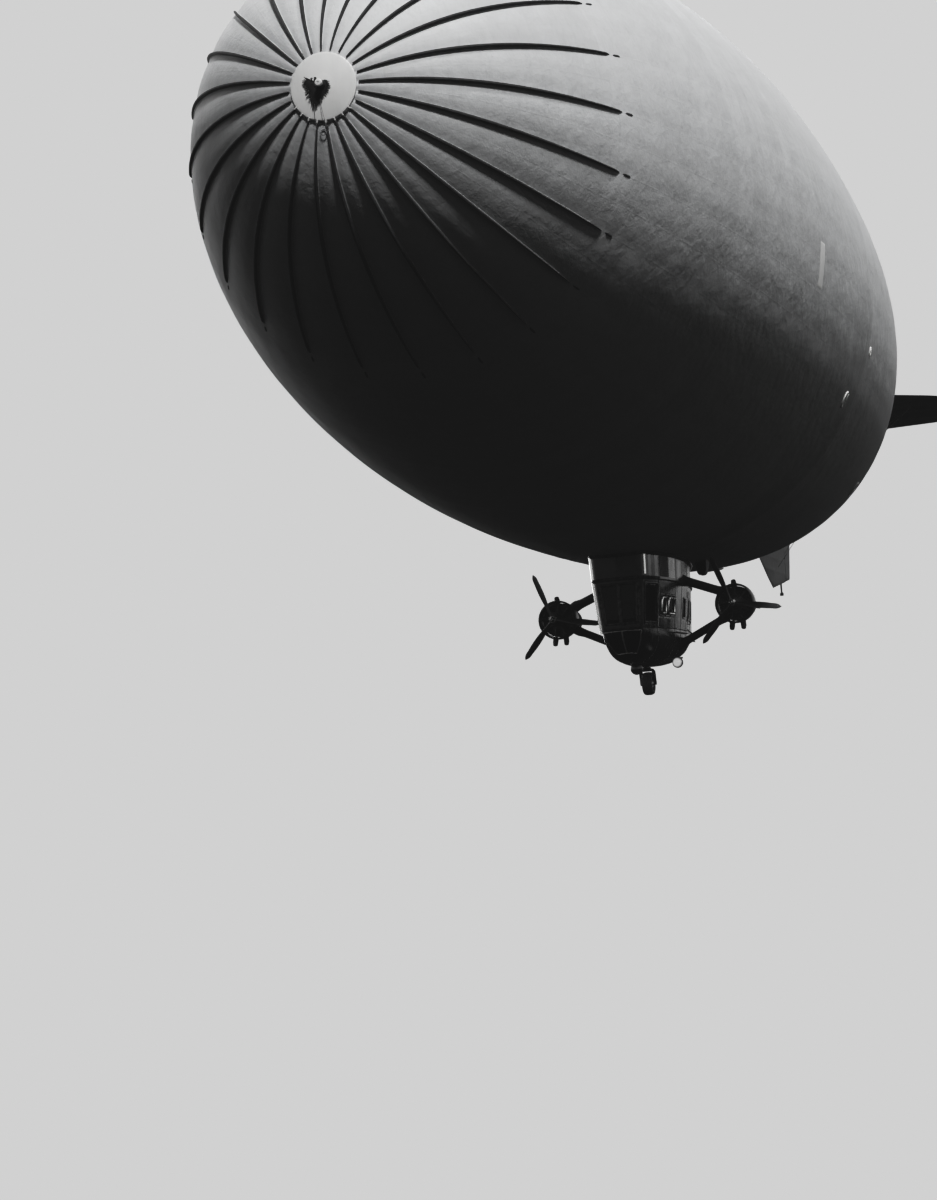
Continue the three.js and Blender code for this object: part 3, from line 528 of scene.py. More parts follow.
def finish(name, colour, roughness, metallic=0.0, mottle=0.14, scale=2.0, streak=0.12, wear=0.0,
           worn=(0.55, 0.55, 0.55), grain=0.25, weave=0.0, threads=500.0, specular=0.5):
    """Paint, cloth, metal or rubber: colour with mottling, streaks, specks and worn edges, uneven
    roughness, and a fine relief of grain or weave."""
    material, t, shader, where = new_material(name)
    aged = t.group("Weathering", {"Vector": where, "Scale": scale})
    base = t.mix(aged["Mottle"], shade(colour, 1 - mottle), shade(colour, 1 + mottle))
    base = t.mix(t.times(aged["Streaks"], streak), base, shade(colour, 0.35))
    base = t.mix(t.times(aged["Specks"], mottle * 1.5), base, shade(colour, 0.4))
    rough = t.plus(roughness - 0.06, t.times(aged["Mottle"], 0.12))
    if wear:
        mask = t.group("Edge wear", {"Vector": where, "Amount": wear})["Mask"]
        base = t.mix(mask, base, worn[:3] + (1.0,))
        rough = t.math("SUBTRACT", rough, t.times(mask, 0.15))
    height = t.group("Surface grain", {"Vector": where, "Scale": 90.0})["Grain"]
    if weave:
        threads_height = t.group("Weave", {"Vector": where, "Threads": threads})["Height"]
        height = t.plus(height, t.times(threads_height, weave))
    bump = t.node("ShaderNodeBump", {"Strength": grain, "Distance": 0.002, "Height": height})
    t.feed(shader, {"Base Color": base, "Roughness": rough, "Normal": bump.outputs[0],
                    "Metallic": metallic, "Specular IOR Level": specular})
    return material


def envelope_finish(name, colour):
    """Silver doped cotton: panels of slightly different tone, taped seams, rain streaks down the
    sides, cloudy mottling and a darker patch low down ahead of the engines."""
    material, t, shader, where = new_material(name)
    seams = t.group("Gore seams", {"Vector": where, "Ring spacing": 0.56, "Gores": 48.0,
                                   "Tape": 0.014})
    aged = t.group("Weathering", {"Vector": where, "Scale": 0.55})
    fine = t.group("Weathering", {"Vector": where, "Scale": 3.2})
    belts = t.spread(t.noise(t.stretched(where, (2.6, 0.12, 0.12)), 1.0, 5.0, 0.65), 0.3, 0.7)
    tone = t.plus(t.times(seams["Tone"], 0.05), t.times(seams["Roll"], 0.09))
    tone = t.plus(tone, t.times(belts, 0.12))
    tone = t.plus(tone, t.times(aged["Mottle"], 0.1))
    tone = t.plus(tone, t.times(fine["Mottle"], 0.07))
    base = t.mix(tone, shade(colour, 0.78), shade(colour, 1.3))
    base = t.mix(t.times(fine["Streaks"], 0.14), base, shade(colour, 0.45))
    base = t.mix(t.times(seams["Seam"], 0.1), base, shade(colour, 0.75))
    base = t.mix(t.times(fine["Specks"], 0.2), base, shade(colour, 0.4))
    # The darker patch fades forward from a ring seam abreast of the engines
    along = t.node("ShaderNodeSeparateXYZ", {0: where}).outputs
    ahead = t.spread(along["X"], 1.68, 1.72)
    fade = t.spread(along["X"], 5.2, 2.2)
    low = t.spread(along["Z"], -0.2, -1.0)
    belt = t.times(t.times(ahead, fade), low)
    belt = t.times(belt, t.plus(0.1, t.times(belts, 0.4)))
    base = t.mix(belt, base, shade(colour, 0.3))
    rough = t.plus(0.56, t.times(aged["Mottle"], 0.12))
    grain = t.group("Surface grain", {"Vector": where, "Scale": 30.0})["Grain"]
    weave = t.group("Weave", {"Vector": where, "Threads": 260.0})["Height"]
    height = t.plus(t.times(seams["Seam"], 0.5), t.times(grain, 0.8))
    height = t.plus(height, t.times(weave, 0.1))
    # Slack and puckers in the cloth, which break up the edge of the shade
    swell = t.plus(t.noise(where, 1.1, 3.0, 0.55), t.times(t.noise(where, 8.0, 4.0, 0.7), 0.26))
    slack = t.node("ShaderNodeBump", {"Strength": 1.0, "Distance": 0.035, "Height": swell})
    bump = t.node("ShaderNodeBump", {"Strength": 0.35, "Distance": 0.003, "Height": height,
                                     "Normal": slack.outputs[0]})
    t.feed(shader, {"Base Color": base, "Roughness": rough, "Normal": bump.outputs[0],
                    "Specular IOR Level": 0.25})
    return material


def car_finish(name, colour):
    """Dark glossy enamel on sheet metal: long pale vertical runs, partly paint worn thin and partly
    painted reflection of the bright sky, oil stains, chipped edges, and a slight waviness that breaks
    up its reflections."""
    material, t, shader, where = new_material(name)
    aged = t.group("Weathering", {"Vector": where, "Scale": 2.4})
    # Pale runs: partly worn paint, partly painted reflection of the sky on the car's sides
    runs = t.noise(t.stretched(where, (9.0, 9.0, 0.8)), 1.0, 4.0, 0.6)
    patches = t.noise(where, 1.7, 3.0, 0.5)
    worn = t.times(t.spread(runs, 0.56, 0.68), t.spread(patches, 0.48, 0.6))
    base = t.mix(aged["Mottle"], shade(colour, 0.6), shade(colour, 1.5))
    base = t.mix(t.times(worn, 0.8), base, shade(colour, 6.0))
    base = t.mix(t.times(aged["Streaks"], 0.5), base, shade(colour, 0.3))
    mask = t.group("Edge wear", {"Vector": where, "Amount": 0.7})["Mask"]
    base = t.mix(mask, base, (0.5, 0.5, 0.5, 1.0))
    rough = t.plus(0.14, t.times(aged["Mottle"], 0.14))
    rough = t.plus(rough, t.times(worn, 0.25))
    waves = t.noise(where, 3.5, 2.0, 0.5)
    grain = t.group("Surface grain", {"Vector": where, "Scale": 90.0})["Grain"]
    coarse = t.node("ShaderNodeBump", {"Strength": 1.0, "Distance": 0.006, "Height": waves})
    bump = t.node("ShaderNodeBump", {"Strength": 0.15, "Distance": 0.001, "Height": grain,
                                     "Normal": coarse.outputs[0]})
    t.feed(shader, {"Base Color": base, "Roughness": rough, "Normal": bump.outputs[0],
                    "Specular IOR Level": 0.1})
    return material


def glass_finish(name):
    """Dark-tinted panes with smeared dust; the near-black tint is painted shade for the car's dim inside."""
    material, t, shader, where = new_material(name)
    aged = t.group("Weathering", {"Vector": where, "Scale": 4.0})
    rough = t.plus(0.03, t.times(aged["Mottle"], 0.05))
    # Painted shade: the near-black tint keeps what lies behind the panes dark
    t.feed(shader, {"Base Color": (0.06, 0.065, 0.07, 1.0), "Roughness": rough, "IOR": 1.12,
                    "Transmission Weight": 0.9, "Specular IOR Level": 0.08})
    return material


def globe_finish(name, glow=0.0):
    """A white glass lamp globe. Given a glow, it carries a painted reflection: it glows where it faces
    ahead and is dim round its edge, standing for bright sky mirrored in the glass.
    """
    material, t, shader, where = new_material(name)
    aged = t.group("Weathering", {"Vector": where, "Scale": 6.0})
    base = t.mix(aged["Mottle"], (0.8, 0.8, 0.78, 1), (0.95, 0.95, 0.93, 1))
    t.feed(shader, {"Base Color": base, "Roughness": 0.15, "Coat Weight": 0.5})
    # Painted reflection: emission bright facing ahead and dim round the rim, for sky mirrored in the globe
    if glow:
        normal = t.node("ShaderNodeNewGeometry").outputs["Normal"]
        ahead = t.node("ShaderNodeSeparateXYZ", {0: normal}).outputs["X"]
        ring = t.spread(ahead, 0.25, 0.75)
        t.feed(shader, {"Emission Color": t.mix(ring, grey(0.02), grey(glow)), "Emission Strength": 1.0})
    return material


LOOKS = {}


def build_looks(colours):
    """Every finish, by the name of its material slot in the record."""
    build_groups()
    c = {key: tuple(getattr(colours, key)) for key in colours.bl_rna.properties.keys()
         if key not in ("rna_type", "name")}
    LOOKS["envelope_dope"] = envelope_finish("silver dope", c["hull"])
    LOOKS["cap_silver"] = finish("cap silver", c["cap"], 0.45, mottle=0.06, streak=0.08, wear=0.2)
    LOOKS["batten_dark"] = finish("batten paint", c["batten"], 0.8, mottle=0.15, streak=0.0,
                                  wear=0.25, worn=(0.2, 0.2, 0.2), scale=3.0, specular=0.15)
    # Near-black canvas, which on the apron also carries the spindle's painted shadow
    LOOKS["boot_canvas"] = finish("boot canvas", (0.009, 0.009, 0.009), 0.9, weave=0.5, threads=900.0,
                                   specular=0.1)
    LOOKS["steel"] = finish("bare steel", (0.6, 0.6, 0.59), 0.35, metallic=0.9, mottle=0.1)
    LOOKS["dark_steel"] = finish("black enamel", (0.05, 0.05, 0.055), 0.4, wear=0.5,
                                 worn=(0.4, 0.4, 0.4))
    LOOKS["fin_dope"] = finish("tail dope", c["tail"], 0.6, mottle=0.35, scale=1.5, streak=0.4,
                               weave=0.3, threads=260.0, grain=0.35, specular=0.3)
    LOOKS["car_paint"] = car_finish("car grey", c["car"])
    # Pale grey for the side sheets, which carry painted reflection
    LOOKS["frame_grey"] = finish("frame grey", (0.12, 0.12, 0.12), 0.25, mottle=0.3, scale=6.0, wear=0.6)
    LOOKS["bright_trim"] = finish("polished trim", (0.9, 0.9, 0.89), 0.22, metallic=1.0, mottle=0.08)
    LOOKS["black"] = finish("matt black", (0.012, 0.012, 0.013), 0.65, mottle=0.3, wear=0.5,
                            worn=(0.3, 0.3, 0.3), scale=4.0, specular=0.2)
    # The landing lamp's glow is painted reflection of the sky in its globe
    LOOKS["lamp_lit"] = globe_finish("lit lamp", 0.42)
    LOOKS["floor_board"] = finish("floor boards", (0.16, 0.13, 0.1), 0.6, mottle=0.25, scale=5.0)
    LOOKS["console_paint"] = finish("instrument black", (0.03, 0.03, 0.032), 0.5, wear=0.4)
    LOOKS["seat_leather"] = finish("seat leather", (0.05, 0.04, 0.035), 0.5, mottle=0.3, scale=7.0,
                                   grain=0.6)
    LOOKS["dark_paint"] = finish("cowl black", c["cowl"], 0.35, mottle=0.2, wear=0.6,
                                 worn=(0.45, 0.45, 0.45), scale=4.0)
    LOOKS["engine_metal"] = finish("engine casting", (0.06, 0.06, 0.06), 0.5, metallic=0.5,
                                   mottle=0.35, scale=6.0, streak=0.3)
    LOOKS["hub_metal"] = finish("hub casting", (0.45, 0.45, 0.44), 0.4, metallic=0.7, mottle=0.2)
    LOOKS["tyre"] = finish("tyre rubber", (0.025, 0.025, 0.025), 0.8, mottle=0.3, scale=6.0,
                           grain=0.6)
    LOOKS["glass"] = glass_finish("window glass")
    LOOKS["lamp_white"] = globe_finish("lamp globe")


# Hull


def build_envelope(sizes):
    """Rings along the outline: radius of the hull plus the lobes between the battens and gores."""
    columns = 384
    start = float(outline_share(aft_of_radius(NOSE_OPENING)))
    share = np.concatenate([start + (0.5 - start) * np.linspace(0, 1, 105) ** 1.15,
                            np.linspace(0.5, 0.992, 90)[1:]])
    aft = hull_outline(share)
    clock = turns(columns)
    lobe = np.sin(clock * 12) ** 2
    gore = np.abs(np.sin(clock * 24))
    near_nose = np.exp(-((aft - 2.5) / 3.5) ** 2) * sizes.nose_lobes
    lift = near_nose[:, None] * lobe + sizes.gore_lobes * gore * np.clip(hull_radius(aft) / 3, 0, 1)[:, None]
    points = on_hull(np.broadcast_to(aft[:, None], lift.shape), clock[None], lift)
    form = Form().grid(points)
    piece("envelope_skin", form, "envelope_dope", replaces=["envelope"])


def build_hull_fittings():
    """Finger patches, a renewed panel and valves, each lying on the skin."""
    patch, valve, pale = Form(), Form(), Form()
    angle = turns(40)

    def disc(aft0, clock0, radius, fingers, depth):
        """Rings from the rim in: reach = radius (1 + depth cos(fingers a)) in the skin's plane."""
        reach = radius * (1 + depth * np.cos(fingers * angle))
        steps = np.array([1.0, 0.97, 0.7, 0.35, 0.02])
        rise = np.array([-0.02, 0.012, 0.014, 0.016, 0.016])
        along = steps[:, None] * reach * np.cos(angle)
        across = steps[:, None] * reach * np.sin(angle)
        aft = aft0 + along
        return on_hull(aft, clock0 + across / hull_radius(aft), np.broadcast_to(rise[:, None], aft.shape))

    for side in (-1, 1):
        for aft0, degrees in ((47.0, 118), (57.5, 112)):
            patch.grid(disc(aft0, side * math.radians(degrees), 0.55, 7, 0.16))
        for number in range(7):
            patch.grid(disc(27.6 + number * 1.9, side * math.radians(163), 0.36, 5, 0.2))
    piece("finger_patches", patch, "envelope_dope")

    # The renewed panel on the port bow quarter
    clock = np.radians(np.linspace(94.5, 104.5, 24))
    aft = np.linspace(20.35, 21.15, 8)
    edge = np.full((8, 24), 0.006)
    edge[0], edge[-1], edge[:, 0], edge[:, -1] = -0.01, -0.01, -0.01, -0.01
    points = on_hull(np.broadcast_to(aft[:, None], (8, 24)), clock[None], edge)
    flip = hull_normal(20.7, math.radians(99))
    pale.grid(points, around=False, caps=False, closed=False)
    normal = np.cross(points[1, 0] - points[0, 0], points[0, 1] - points[0, 0])
    if normal @ flip > 0:
        pale.faces = [group[:, ::-1] for group in pale.faces]
    piece("renewed_panel", pale, "cap_silver")

    # Gas and air valves: a rim, a dished cover and its spokes
    for aft0, degrees, radius in ((29.4, 119, 0.3), (31.7, 106, 0.16), (46.0, 133, 0.34),
                                  (44.0, -133, 0.34), (43.5, 176, 0.4)):
        clock0 = math.radians(degrees)
        normal = hull_normal(aft0, clock0)
        frame_here = frames_from(normal[None], (1, 0, 0))[0]
        centre = on_hull(aft0, clock0, 0.0)
        r = radius * SCALE
        rows = np.array([[-0.05, 1.0], [0.1, 1.0], [0.16, 0.94], [0.16, 0.86], [0.09, 0.82],
                         [0.1, 0.5], [0.14, 0.2], [0.15, 0.02]]) * r
        dish = lathe(rows[:, [0, 1]], 32, axis="z")
        valve.grid(dish @ frame_here.T + centre)
        for a in turns(6):
            ends = np.array([[math.cos(a) * s * r, math.sin(a) * s * r, 0.17 * r] for s in (0.1, 0.5, 0.9)])
            valve.grid(tube(ends @ frame_here.T + centre, 0.04 * r, 6, up=normal))
    piece("hull_valves", valve, "lamp_white")


def build_nose(sizes):
    """Cap with black blocks of painted shade under its lower rim and pale ribs, battens with their
    sleeves and the dash beyond each tip, canvas apron that also carries the spindle's painted shadow,
    mooring spindle, wires and hook."""
    cap = Form()
    rise = sizes.cap_height
    edge = float(aft_of_radius(CAP_RADIUS))
    profile = [[edge + 0.02, 0.6], [edge - 0.01, 0.745], [edge - rise + 0.02, 0.757], [edge - rise, 0.754],
               [edge - rise - 0.006, 0.742]]
    for radius in (0.7, 0.6, 0.45, 0.3, 0.24):
        profile.append([float(aft_of_radius(radius)) - rise, radius])
    profile.append([-rise, 0.2])
    profile.append([-rise, 0.02])
    cap.grid(ship_lathe(profile, 96))
    bolts = turns(48) + np.pi / 48
    spots = ring_places(float(aft_of_radius(BOLT_RADIUS)) - rise, BOLT_RADIUS, bolts)
    cap.copies(rivet(0.004), frames_ahead(48), spots)
    piece("cap_dish", cap, "cap_silver", replaces=["nose_cap"])

    clocks = turns(24)
    ribs, battens, rim = Form(), Form(), Form()
    # Black blocks under the lower rim: painted shade where the rim's underside lies in shadow, with a thin
    # pale rib across the skin beside each
    across = np.radians(np.linspace(-5.6, 5.6, 9))
    for clock in np.radians([142.5, 157.5, 172.5, 187.5, 202.5, 217.5, 232.5]):
        rows = []
        for radius, lift in ((0.735, -0.02), (0.737, 0.062), (0.745, 0.066), (0.785, 0.05), (0.79, -0.02)):
            rows.append(on_hull(float(aft_of_radius(radius)), clock + across, lift))
        rim.grid(np.stack(rows).transpose(1, 0, 2))
    piece("cap_rim", rim, "black")
    shape = [(-1, -1), (-1, 1), (1, 1), (1, -1)]
    for clock in np.radians(np.arange(135, 241, 15)):
        ribs.grid(strip_on_hull(aft_of_radius(np.array([0.735, 0.75, 0.78, 0.8])), clock, np.full(4, 0.014),
                                np.full(4, 0.07), shape))
    piece("rim_ribs", ribs, "cap_silver")

    # Battens: half width and height swell towards the middle and taper to both ends
    along = np.linspace(0, 1, 72)
    radius = BATTEN_START + (BATTEN_TIP - BATTEN_START) * along
    taper = np.minimum(1, (1 - along) / 0.02).clip(0.05, 1) ** 0.5
    half = (0.012 + sizes.batten_swell * np.sin(np.pi * along ** 0.9) ** 0.8) * taper
    height = (0.06 + 0.04 * np.sin(np.pi * along) ** 0.7) * taper
    shape = [(-1, -1), (-1, 0.5), (-0.8, 0.85), (-0.4, 1), (0.4, 1), (0.8, 0.85), (1, 0.5), (1, -1)]
    dash = np.linspace(0, 1, 9)
    dash_taper = np.sqrt(np.clip(1 - (2 * dash - 1) ** 4, 0.05, 1))
    dash_aft = float(aft_of_radius(BATTEN_TIP)) + 0.16 + 0.3 * dash
    for clock in clocks:
        battens.grid(strip_on_hull(aft_of_radius(radius), clock, half, height, shape))
        battens.grid(strip_on_hull(dash_aft, clock, 0.024 * dash_taper, 0.02 * dash_taper, shape))
    # Silver cloth sleeves along the battens' feet, whose sunny sides stay pale where the hull is in shade
    sleeves = Form()
    for clock in clocks:
        sleeves.grid(strip_on_hull(aft_of_radius(radius[2:-3]), clock, half[2:-3] + 0.01,
                                   np.full(len(radius) - 5, 0.02), shape))
    piece("batten_sleeves", sleeves, "envelope_dope")
    piece("nose_fan", battens, "batten_dark", replaces=["nose_battens"])

    # A canvas sleeve round the spindle's foot, and an apron tied behind the spindle's head that
    # hangs to a point, fringed with frayed lacing. The apron's dark outline also takes in the spindle's
    # shadow on the cap, so it is partly canvas and partly painted shadow. The outline lists [to port, up]
    # about the axis
    boot = Form()
    face = -rise
    sleeve = [[face + 0.01, 0.05], [face + 0.01, 0.105], [face - 0.05, 0.1], [face - 0.12, 0.085],
              [face - 0.15, 0.07], [face - 0.15, 0.05]]
    boot.grid(ship_lathe(sleeve, 48), ring=True, caps=False)
    outline = np.array([[-0.155, 0.195], [-0.11, 0.19], [-0.1, 0.07], [-0.03, 0.04], [0.03, 0.07],
                        [0.063, 0.088], [0.104, 0.065], [0.13, 0.01], [0.118, -0.045], [0.082, -0.106],
                        [0.034, -0.167], [-0.028, -0.227], [-0.09, -0.286], [-0.134, -0.335],
                        [-0.166, -0.405], [-0.215, -0.4], [-0.228, -0.33], [-0.24, -0.25],
                        [-0.258, -0.165], [-0.282, -0.078], [-0.314, -0.004], [-0.342, 0.07],
                        [-0.35, 0.126], [-0.315, 0.15], [-0.245, 0.13], [-0.17, 0.12]])
    middle = np.array([-0.13, -0.04])
    rings = []
    for share, ahead in ((0.1, 0.07), (0.9, 0.068), (0.98, 0.075), (1.0, 0.088), (0.97, 0.1),
                         (0.8, 0.112), (0.5, 0.125), (0.1, 0.128)):
        spread = middle + (outline - middle) * share
        fold = 0.01 * np.cos(spread[:, 0] * 70) * (share > 0.3)
        rings.append(place(-ahead - fold * (ahead > 0.09), spread[:, 0], spread[:, 1]))
    boot.grid(np.stack(rings), ring=True)
    rng = np.random.default_rng(7)
    closed = np.concatenate([outline, outline[:1]])
    steps = np.concatenate([[0], np.cumsum(np.linalg.norm(np.diff(closed, axis=0), axis=1))])
    for number in range(84):
        at = (number + rng.uniform(0.2, 0.8)) / 84 * steps[-1]
        start = np.array([np.interp(at, steps, closed[:, k]) for k in (0, 1)])
        away = unit(start - middle + rng.uniform(-0.06, 0.06, 2))
        reach = 0.03 + 0.06 * rng.random() + 0.04 * (away[0] < -0.6)
        if -0.2 < start[0] < 0.05 and start[1] > 0:
            continue
        ends = start + away * reach * np.array([-0.3, 0.2, 0.7, 1.0])[:, None]
        ends[:, 1] -= 0.012 * np.array([0, 0, 0.5, 1.0])
        boot.grid(tube(place(np.array([-0.09, -0.09, -0.088, -0.082]), *ends.T),
                       np.array([0.008, 0.006, 0.004, 0.002]), 6, up=(1, 0, 0)))
    piece("spindle_boot", boot, "boot_canvas", replaces=["mooring_boot"])

    spindle = Form()
    tip = SPINDLE_TIP
    rows = [[face + 0.02, 0.07], [tip + 0.12, 0.06], [tip + 0.1, 0.05], [tip + 0.085, 0.075],
            [tip + 0.07, 0.08], [tip + 0.02, 0.08], [tip + 0.004, 0.074], [tip, 0.066], [tip, 0.024],
            [tip + 0.02, 0.02], [tip + 0.02, 0.004]]
    spindle.grid(ship_lathe(rows, 40))
    piece("mooring_tip", spindle, "cap_silver", replaces=["mooring_spindle"])

    # Two wires from the apron over the cap's rim, a small shackle and a hook on the fabric below
    shackle = Form()
    for out, low in (((-0.19, -0.2, -0.215, -0.24), -0.4), ((-0.05, -0.04, -0.02, 0.0), -0.3)):
        wire = place(np.array([-0.1, -0.09, -0.075, 0.04]), np.array(out),
                     np.array([low, -0.52, -0.66, -0.93]))
        shackle.grid(tube(wire, 0.0025, 6, up=(0, 1, 0)))
    shackle.grid(ball(place(-0.13, -0.2, 0.16), 0.012, 12, 16))
    angle = np.linspace(-2.4, np.pi + 0.3, 20)
    low = on_hull(float(aft_of_radius(0.99)), math.radians(185.5), 0.04)
    loop = low + np.column_stack([np.full(20, 0.006), 0.035 * np.cos(angle), -0.03 * np.sin(angle)])
    shackle.grid(tube(loop, 0.005, 10, up=(1, 0, 0)))
    piece("nose_shackle", shackle, "dark_steel")


# Tail


def half_thickness(height):
    """Half the fin's depth, which falls evenly from 0.15 m at 2 m off the axis to 0.07 m at 9 m."""
    return 0.15 + (0.07 - 0.15) * (height - 2.0) / (9.0 - 2.0)


def turn_about_axis(points, degrees):
    """Turns model points about the hull's axis, from the crest towards port."""
    a = math.radians(degrees)
    x, y, z = np.moveaxis(points, -1, 0)
    return np.stack([x, y * math.cos(a) + z * math.sin(a), z * math.cos(a) - y * math.sin(a)], -1)


def rib_relief(distance, spacing, height):
    """Fabric over ribs: full height on a rib, sagging as a cosine between two."""
    phase = (distance / spacing) % 1.0
    return height * (np.abs(2 * phase - 1) ** 3)


def fin_surface(row, sizes):
    """Closed rings round the fin's section, from inside the hull to the tip. Half thickness is the
    local depth times a rounded nose, plus the ribs' relief, and falls to an edge at the tip."""
    low_aft, low_up, tip_aft, tip_up = row["lead"]
    rounding = 0.07 * np.sin(np.linspace(0, 1, 9)[1:] * np.pi / 2)
    span = np.concatenate([np.linspace(0, 0.93, 84), 0.93 + rounding])
    knots = np.array([0.0, 0.25, 0.9, 1.0])
    shoulder = 0.86
    shoulder_aft = low_aft + (tip_aft - low_aft) * shoulder
    lead_aft = np.interp(span, knots, [low_aft, low_aft, shoulder_aft, tip_aft + 0.25])
    lead_up = np.interp(span, knots, [2.0, low_up, low_up + (tip_up - low_up) * shoulder, tip_up])
    rear_up = np.interp(span, knots, [2.0, low_up, row["tip"] - 0.6, row["tip"]])
    rear_aft = row["hinge"] - half_thickness(rear_up) * 0.88 - 0.014
    edge = np.sqrt(np.clip(1 - ((span - 0.93) / 0.07).clip(0) ** 2, 0.02, 1))
    u = np.concatenate([(1 - np.cos(np.linspace(0, 1, 16) * np.pi / 2)) * 0.3, np.linspace(0.3, 1, 24)[1:]])
    aft = lead_aft[:, None] + (rear_aft - lead_aft)[:, None] * u
    up = lead_up[:, None] + (rear_up - lead_up)[:, None] * u
    nose = np.sqrt(np.clip(1 - (1 - np.minimum(u / 0.38, 1)) ** 2, 0, 1))
    depth = np.where(u < 0.38, nose, 1 - 0.12 * (u - 0.38) / 0.62)
    ribs = rib_relief(up, sizes.rib_spacing, sizes.rib_height) * np.minimum(1, u / 0.05)
    y = (half_thickness(up) * depth + ribs - sizes.rib_height) * edge[:, None]
    y = np.maximum(y, 0.004 * (u > 0))
    port = place(aft, y, up)
    starboard = place(aft, -y, up)[:, ::-1]
    return np.concatenate([port, starboard[:, :-1]], axis=1)


def flap_surface(row, sizes):
    """Closed rings round a rudder or elevator: a half round about the hinge, straight sides with
    ribs, a thin rear edge, and a notch round each hinge lug."""
    trail_aft, trail_up, root_aft, root_up = row["trail"]
    heights = row["tip"] - 0.03 - row["root"]
    lugs = [row["root"] + (row["tip"] - row["root"]) * share for share in LUG_SHARES]
    share = list(np.linspace(0.0, 1.0, 70))
    for lug in lugs:
        low = (lug - LUG_NOTCH / 2 - row["root"]) / heights
        high = (lug + LUG_NOTCH / 2 - row["root"]) / heights
        share = [s for s in share if not low - 1e-3 < s < high + 1e-3]
        share += [low - 1e-4, low, high, high + 1e-4]
    share = np.array(sorted(share))
    hinge_up = row["root"] + heights * share
    rear_aft = root_aft + (trail_aft - root_aft) * share
    rear_up = root_up + (trail_up - root_up) * share
    inside = np.zeros(len(share), bool)
    for lug in lugs:
        inside |= np.abs(hinge_up - lug) < LUG_NOTCH / 2 + 1e-4 * 0.5
    round_ = half_thickness(hinge_up) * 0.88
    tip_edge = np.sqrt(np.clip(1 - ((share - 0.97) / 0.03).clip(0) ** 2, 0.05, 1))
    u = np.linspace(0, 1, 22)
    aft = row["hinge"] + (rear_aft - row["hinge"])[:, None] * u
    up = hinge_up[:, None] + (rear_up - hinge_up)[:, None] * u
    y = round_[:, None] * (1 - u) + 0.018 * u
    full = np.sin(np.pi * np.minimum(u * 1.2, 1)).clip(0)
    ribs = rib_relief(up, sizes.rib_spacing, sizes.rib_height) * full
    y = (y + ribs - sizes.rib_height * np.sin(np.pi * u)) * tip_edge[:, None]
    arc = np.linspace(0, np.pi, 11)[1:-1]
    front_aft = row["hinge"] - round_[:, None] * np.sin(arc)
    front_y = round_[:, None] * np.cos(arc) * tip_edge[:, None]
    notch_aft = row["hinge"] + 0.05 + 0.03
    front_aft = np.where(inside[:, None], notch_aft, front_aft)
    aft = np.where(inside[:, None], np.maximum(aft, notch_aft), aft)
    front_up = np.broadcast_to(hinge_up[:, None], front_aft.shape)
    port = place(aft, y, up)[:, ::-1]
    front = place(front_aft, front_y, front_up)
    starboard = place(aft, -y, up)
    return np.concatenate([port, front, starboard], axis=1)


def build_tail(sizes):
    """Fins, hinge lugs, moving surfaces, horns and stays."""
    stays, lug_form = Form(), Form()
    for name, row in TAIL.items():
        fin = Form().grid(turn_about_axis(fin_surface(row, sizes), row["turn"]))
        for share in LUG_SHARES:
            lug = row["root"] + (row["tip"] - row["root"]) * share
            ring = lathe([[-0.01, 0.009], [-0.01, 0.025], [0.01, 0.025], [0.01, 0.009]], 24,
                         place(row["hinge"], 0, lug), "z")
            lug_form.grid(turn_about_axis(ring, row["turn"]), ring=True, caps=False)
            arm = place(np.linspace(row["hinge"] - 0.32, row["hinge"] - 0.045, 5), 0.0, lug)
            plate = tube(arm, 0.02, 12, flat=0.5, up=(0, 0, 1))
            lug_form.grid(turn_about_axis(plate, row["turn"]))
        piece("fin_skin_" + name, fin, "fin_dope", replaces=["fin_" + name], crease=50.0)

        flap = Form().grid(turn_about_axis(flap_surface(row, sizes), row["turn"]))
        horn = Form()
        for share in LUG_SHARES:
            lug = row["root"] + (row["tip"] - row["root"]) * share
            pin = lathe([[-0.03, 0.0075], [0.03, 0.0075]], 16, place(row["hinge"], 0, lug), "z")
            horn.grid(turn_about_axis(pin, row["turn"]))
        up = row["root"] + (row["tip"] - row["root"]) * 0.5
        for side in (-1, 1):
            path = place(row["hinge"] + np.array([0.3, 0.22, 0.15]), side * np.array([0.08, 0.3, 0.46]), up)
            horn.grid(turn_about_axis(tube(path, np.array([0.05, 0.03, 0.012]), 12, flat=0.18,
                                           up=(0, 0, 1)), row["turn"]))
        piece(row["flap"] + "_skin", flap, "fin_dope", replaces=[row["flap"]], body=row["body"],
              crease=50.0)
        piece(row["flap"] + "_horns", horn, "dark_steel", body=row["body"])

        # Stays from each face of the fin down to the hull
        for side in (-1, 1):
            for aft, up, drop in ((63.2, 6.4, 40), (66.5, 7.2, 46), (69.4, 6.4, 55)):
                top = turn_about_axis(place(aft, side * 0.09, up), row["turn"])
                clock = math.radians(row["turn"] + side * drop)
                foot = on_hull(aft - 0.8, clock, 0.02)
                line = top + (foot - top) * np.linspace(0, 1, 3)[:, None]
                stays.grid(tube(line, sizes.stay_radius, 8, up=(1, 0.1, 0)))
                screw = top + (foot - top) * np.array([0.86, 0.88, 0.94, 0.96])[:, None]
                stays.grid(tube(screw, sizes.stay_radius * np.array([1.0, 2.2, 2.2, 1.0]), 8, up=(1, 0.1, 0)))
    piece("tail_stays", stays, "steel")
    piece("tail_hinge_lugs", lug_form, "dark_steel")


# Control car


def side_factor(up):
    """Breadth of the side wall at a height, as a share of that at the shoulder."""
    return np.interp(up, [CAR_WAIST, CAR_SHOULDER, HULL_SEAM], [0.84, 1.0, 1.05])


def car_half(station):
    """Half breadth at the shoulder."""
    return smooth(np.asarray(station, float), CAR_STATION, CAR_HALF)


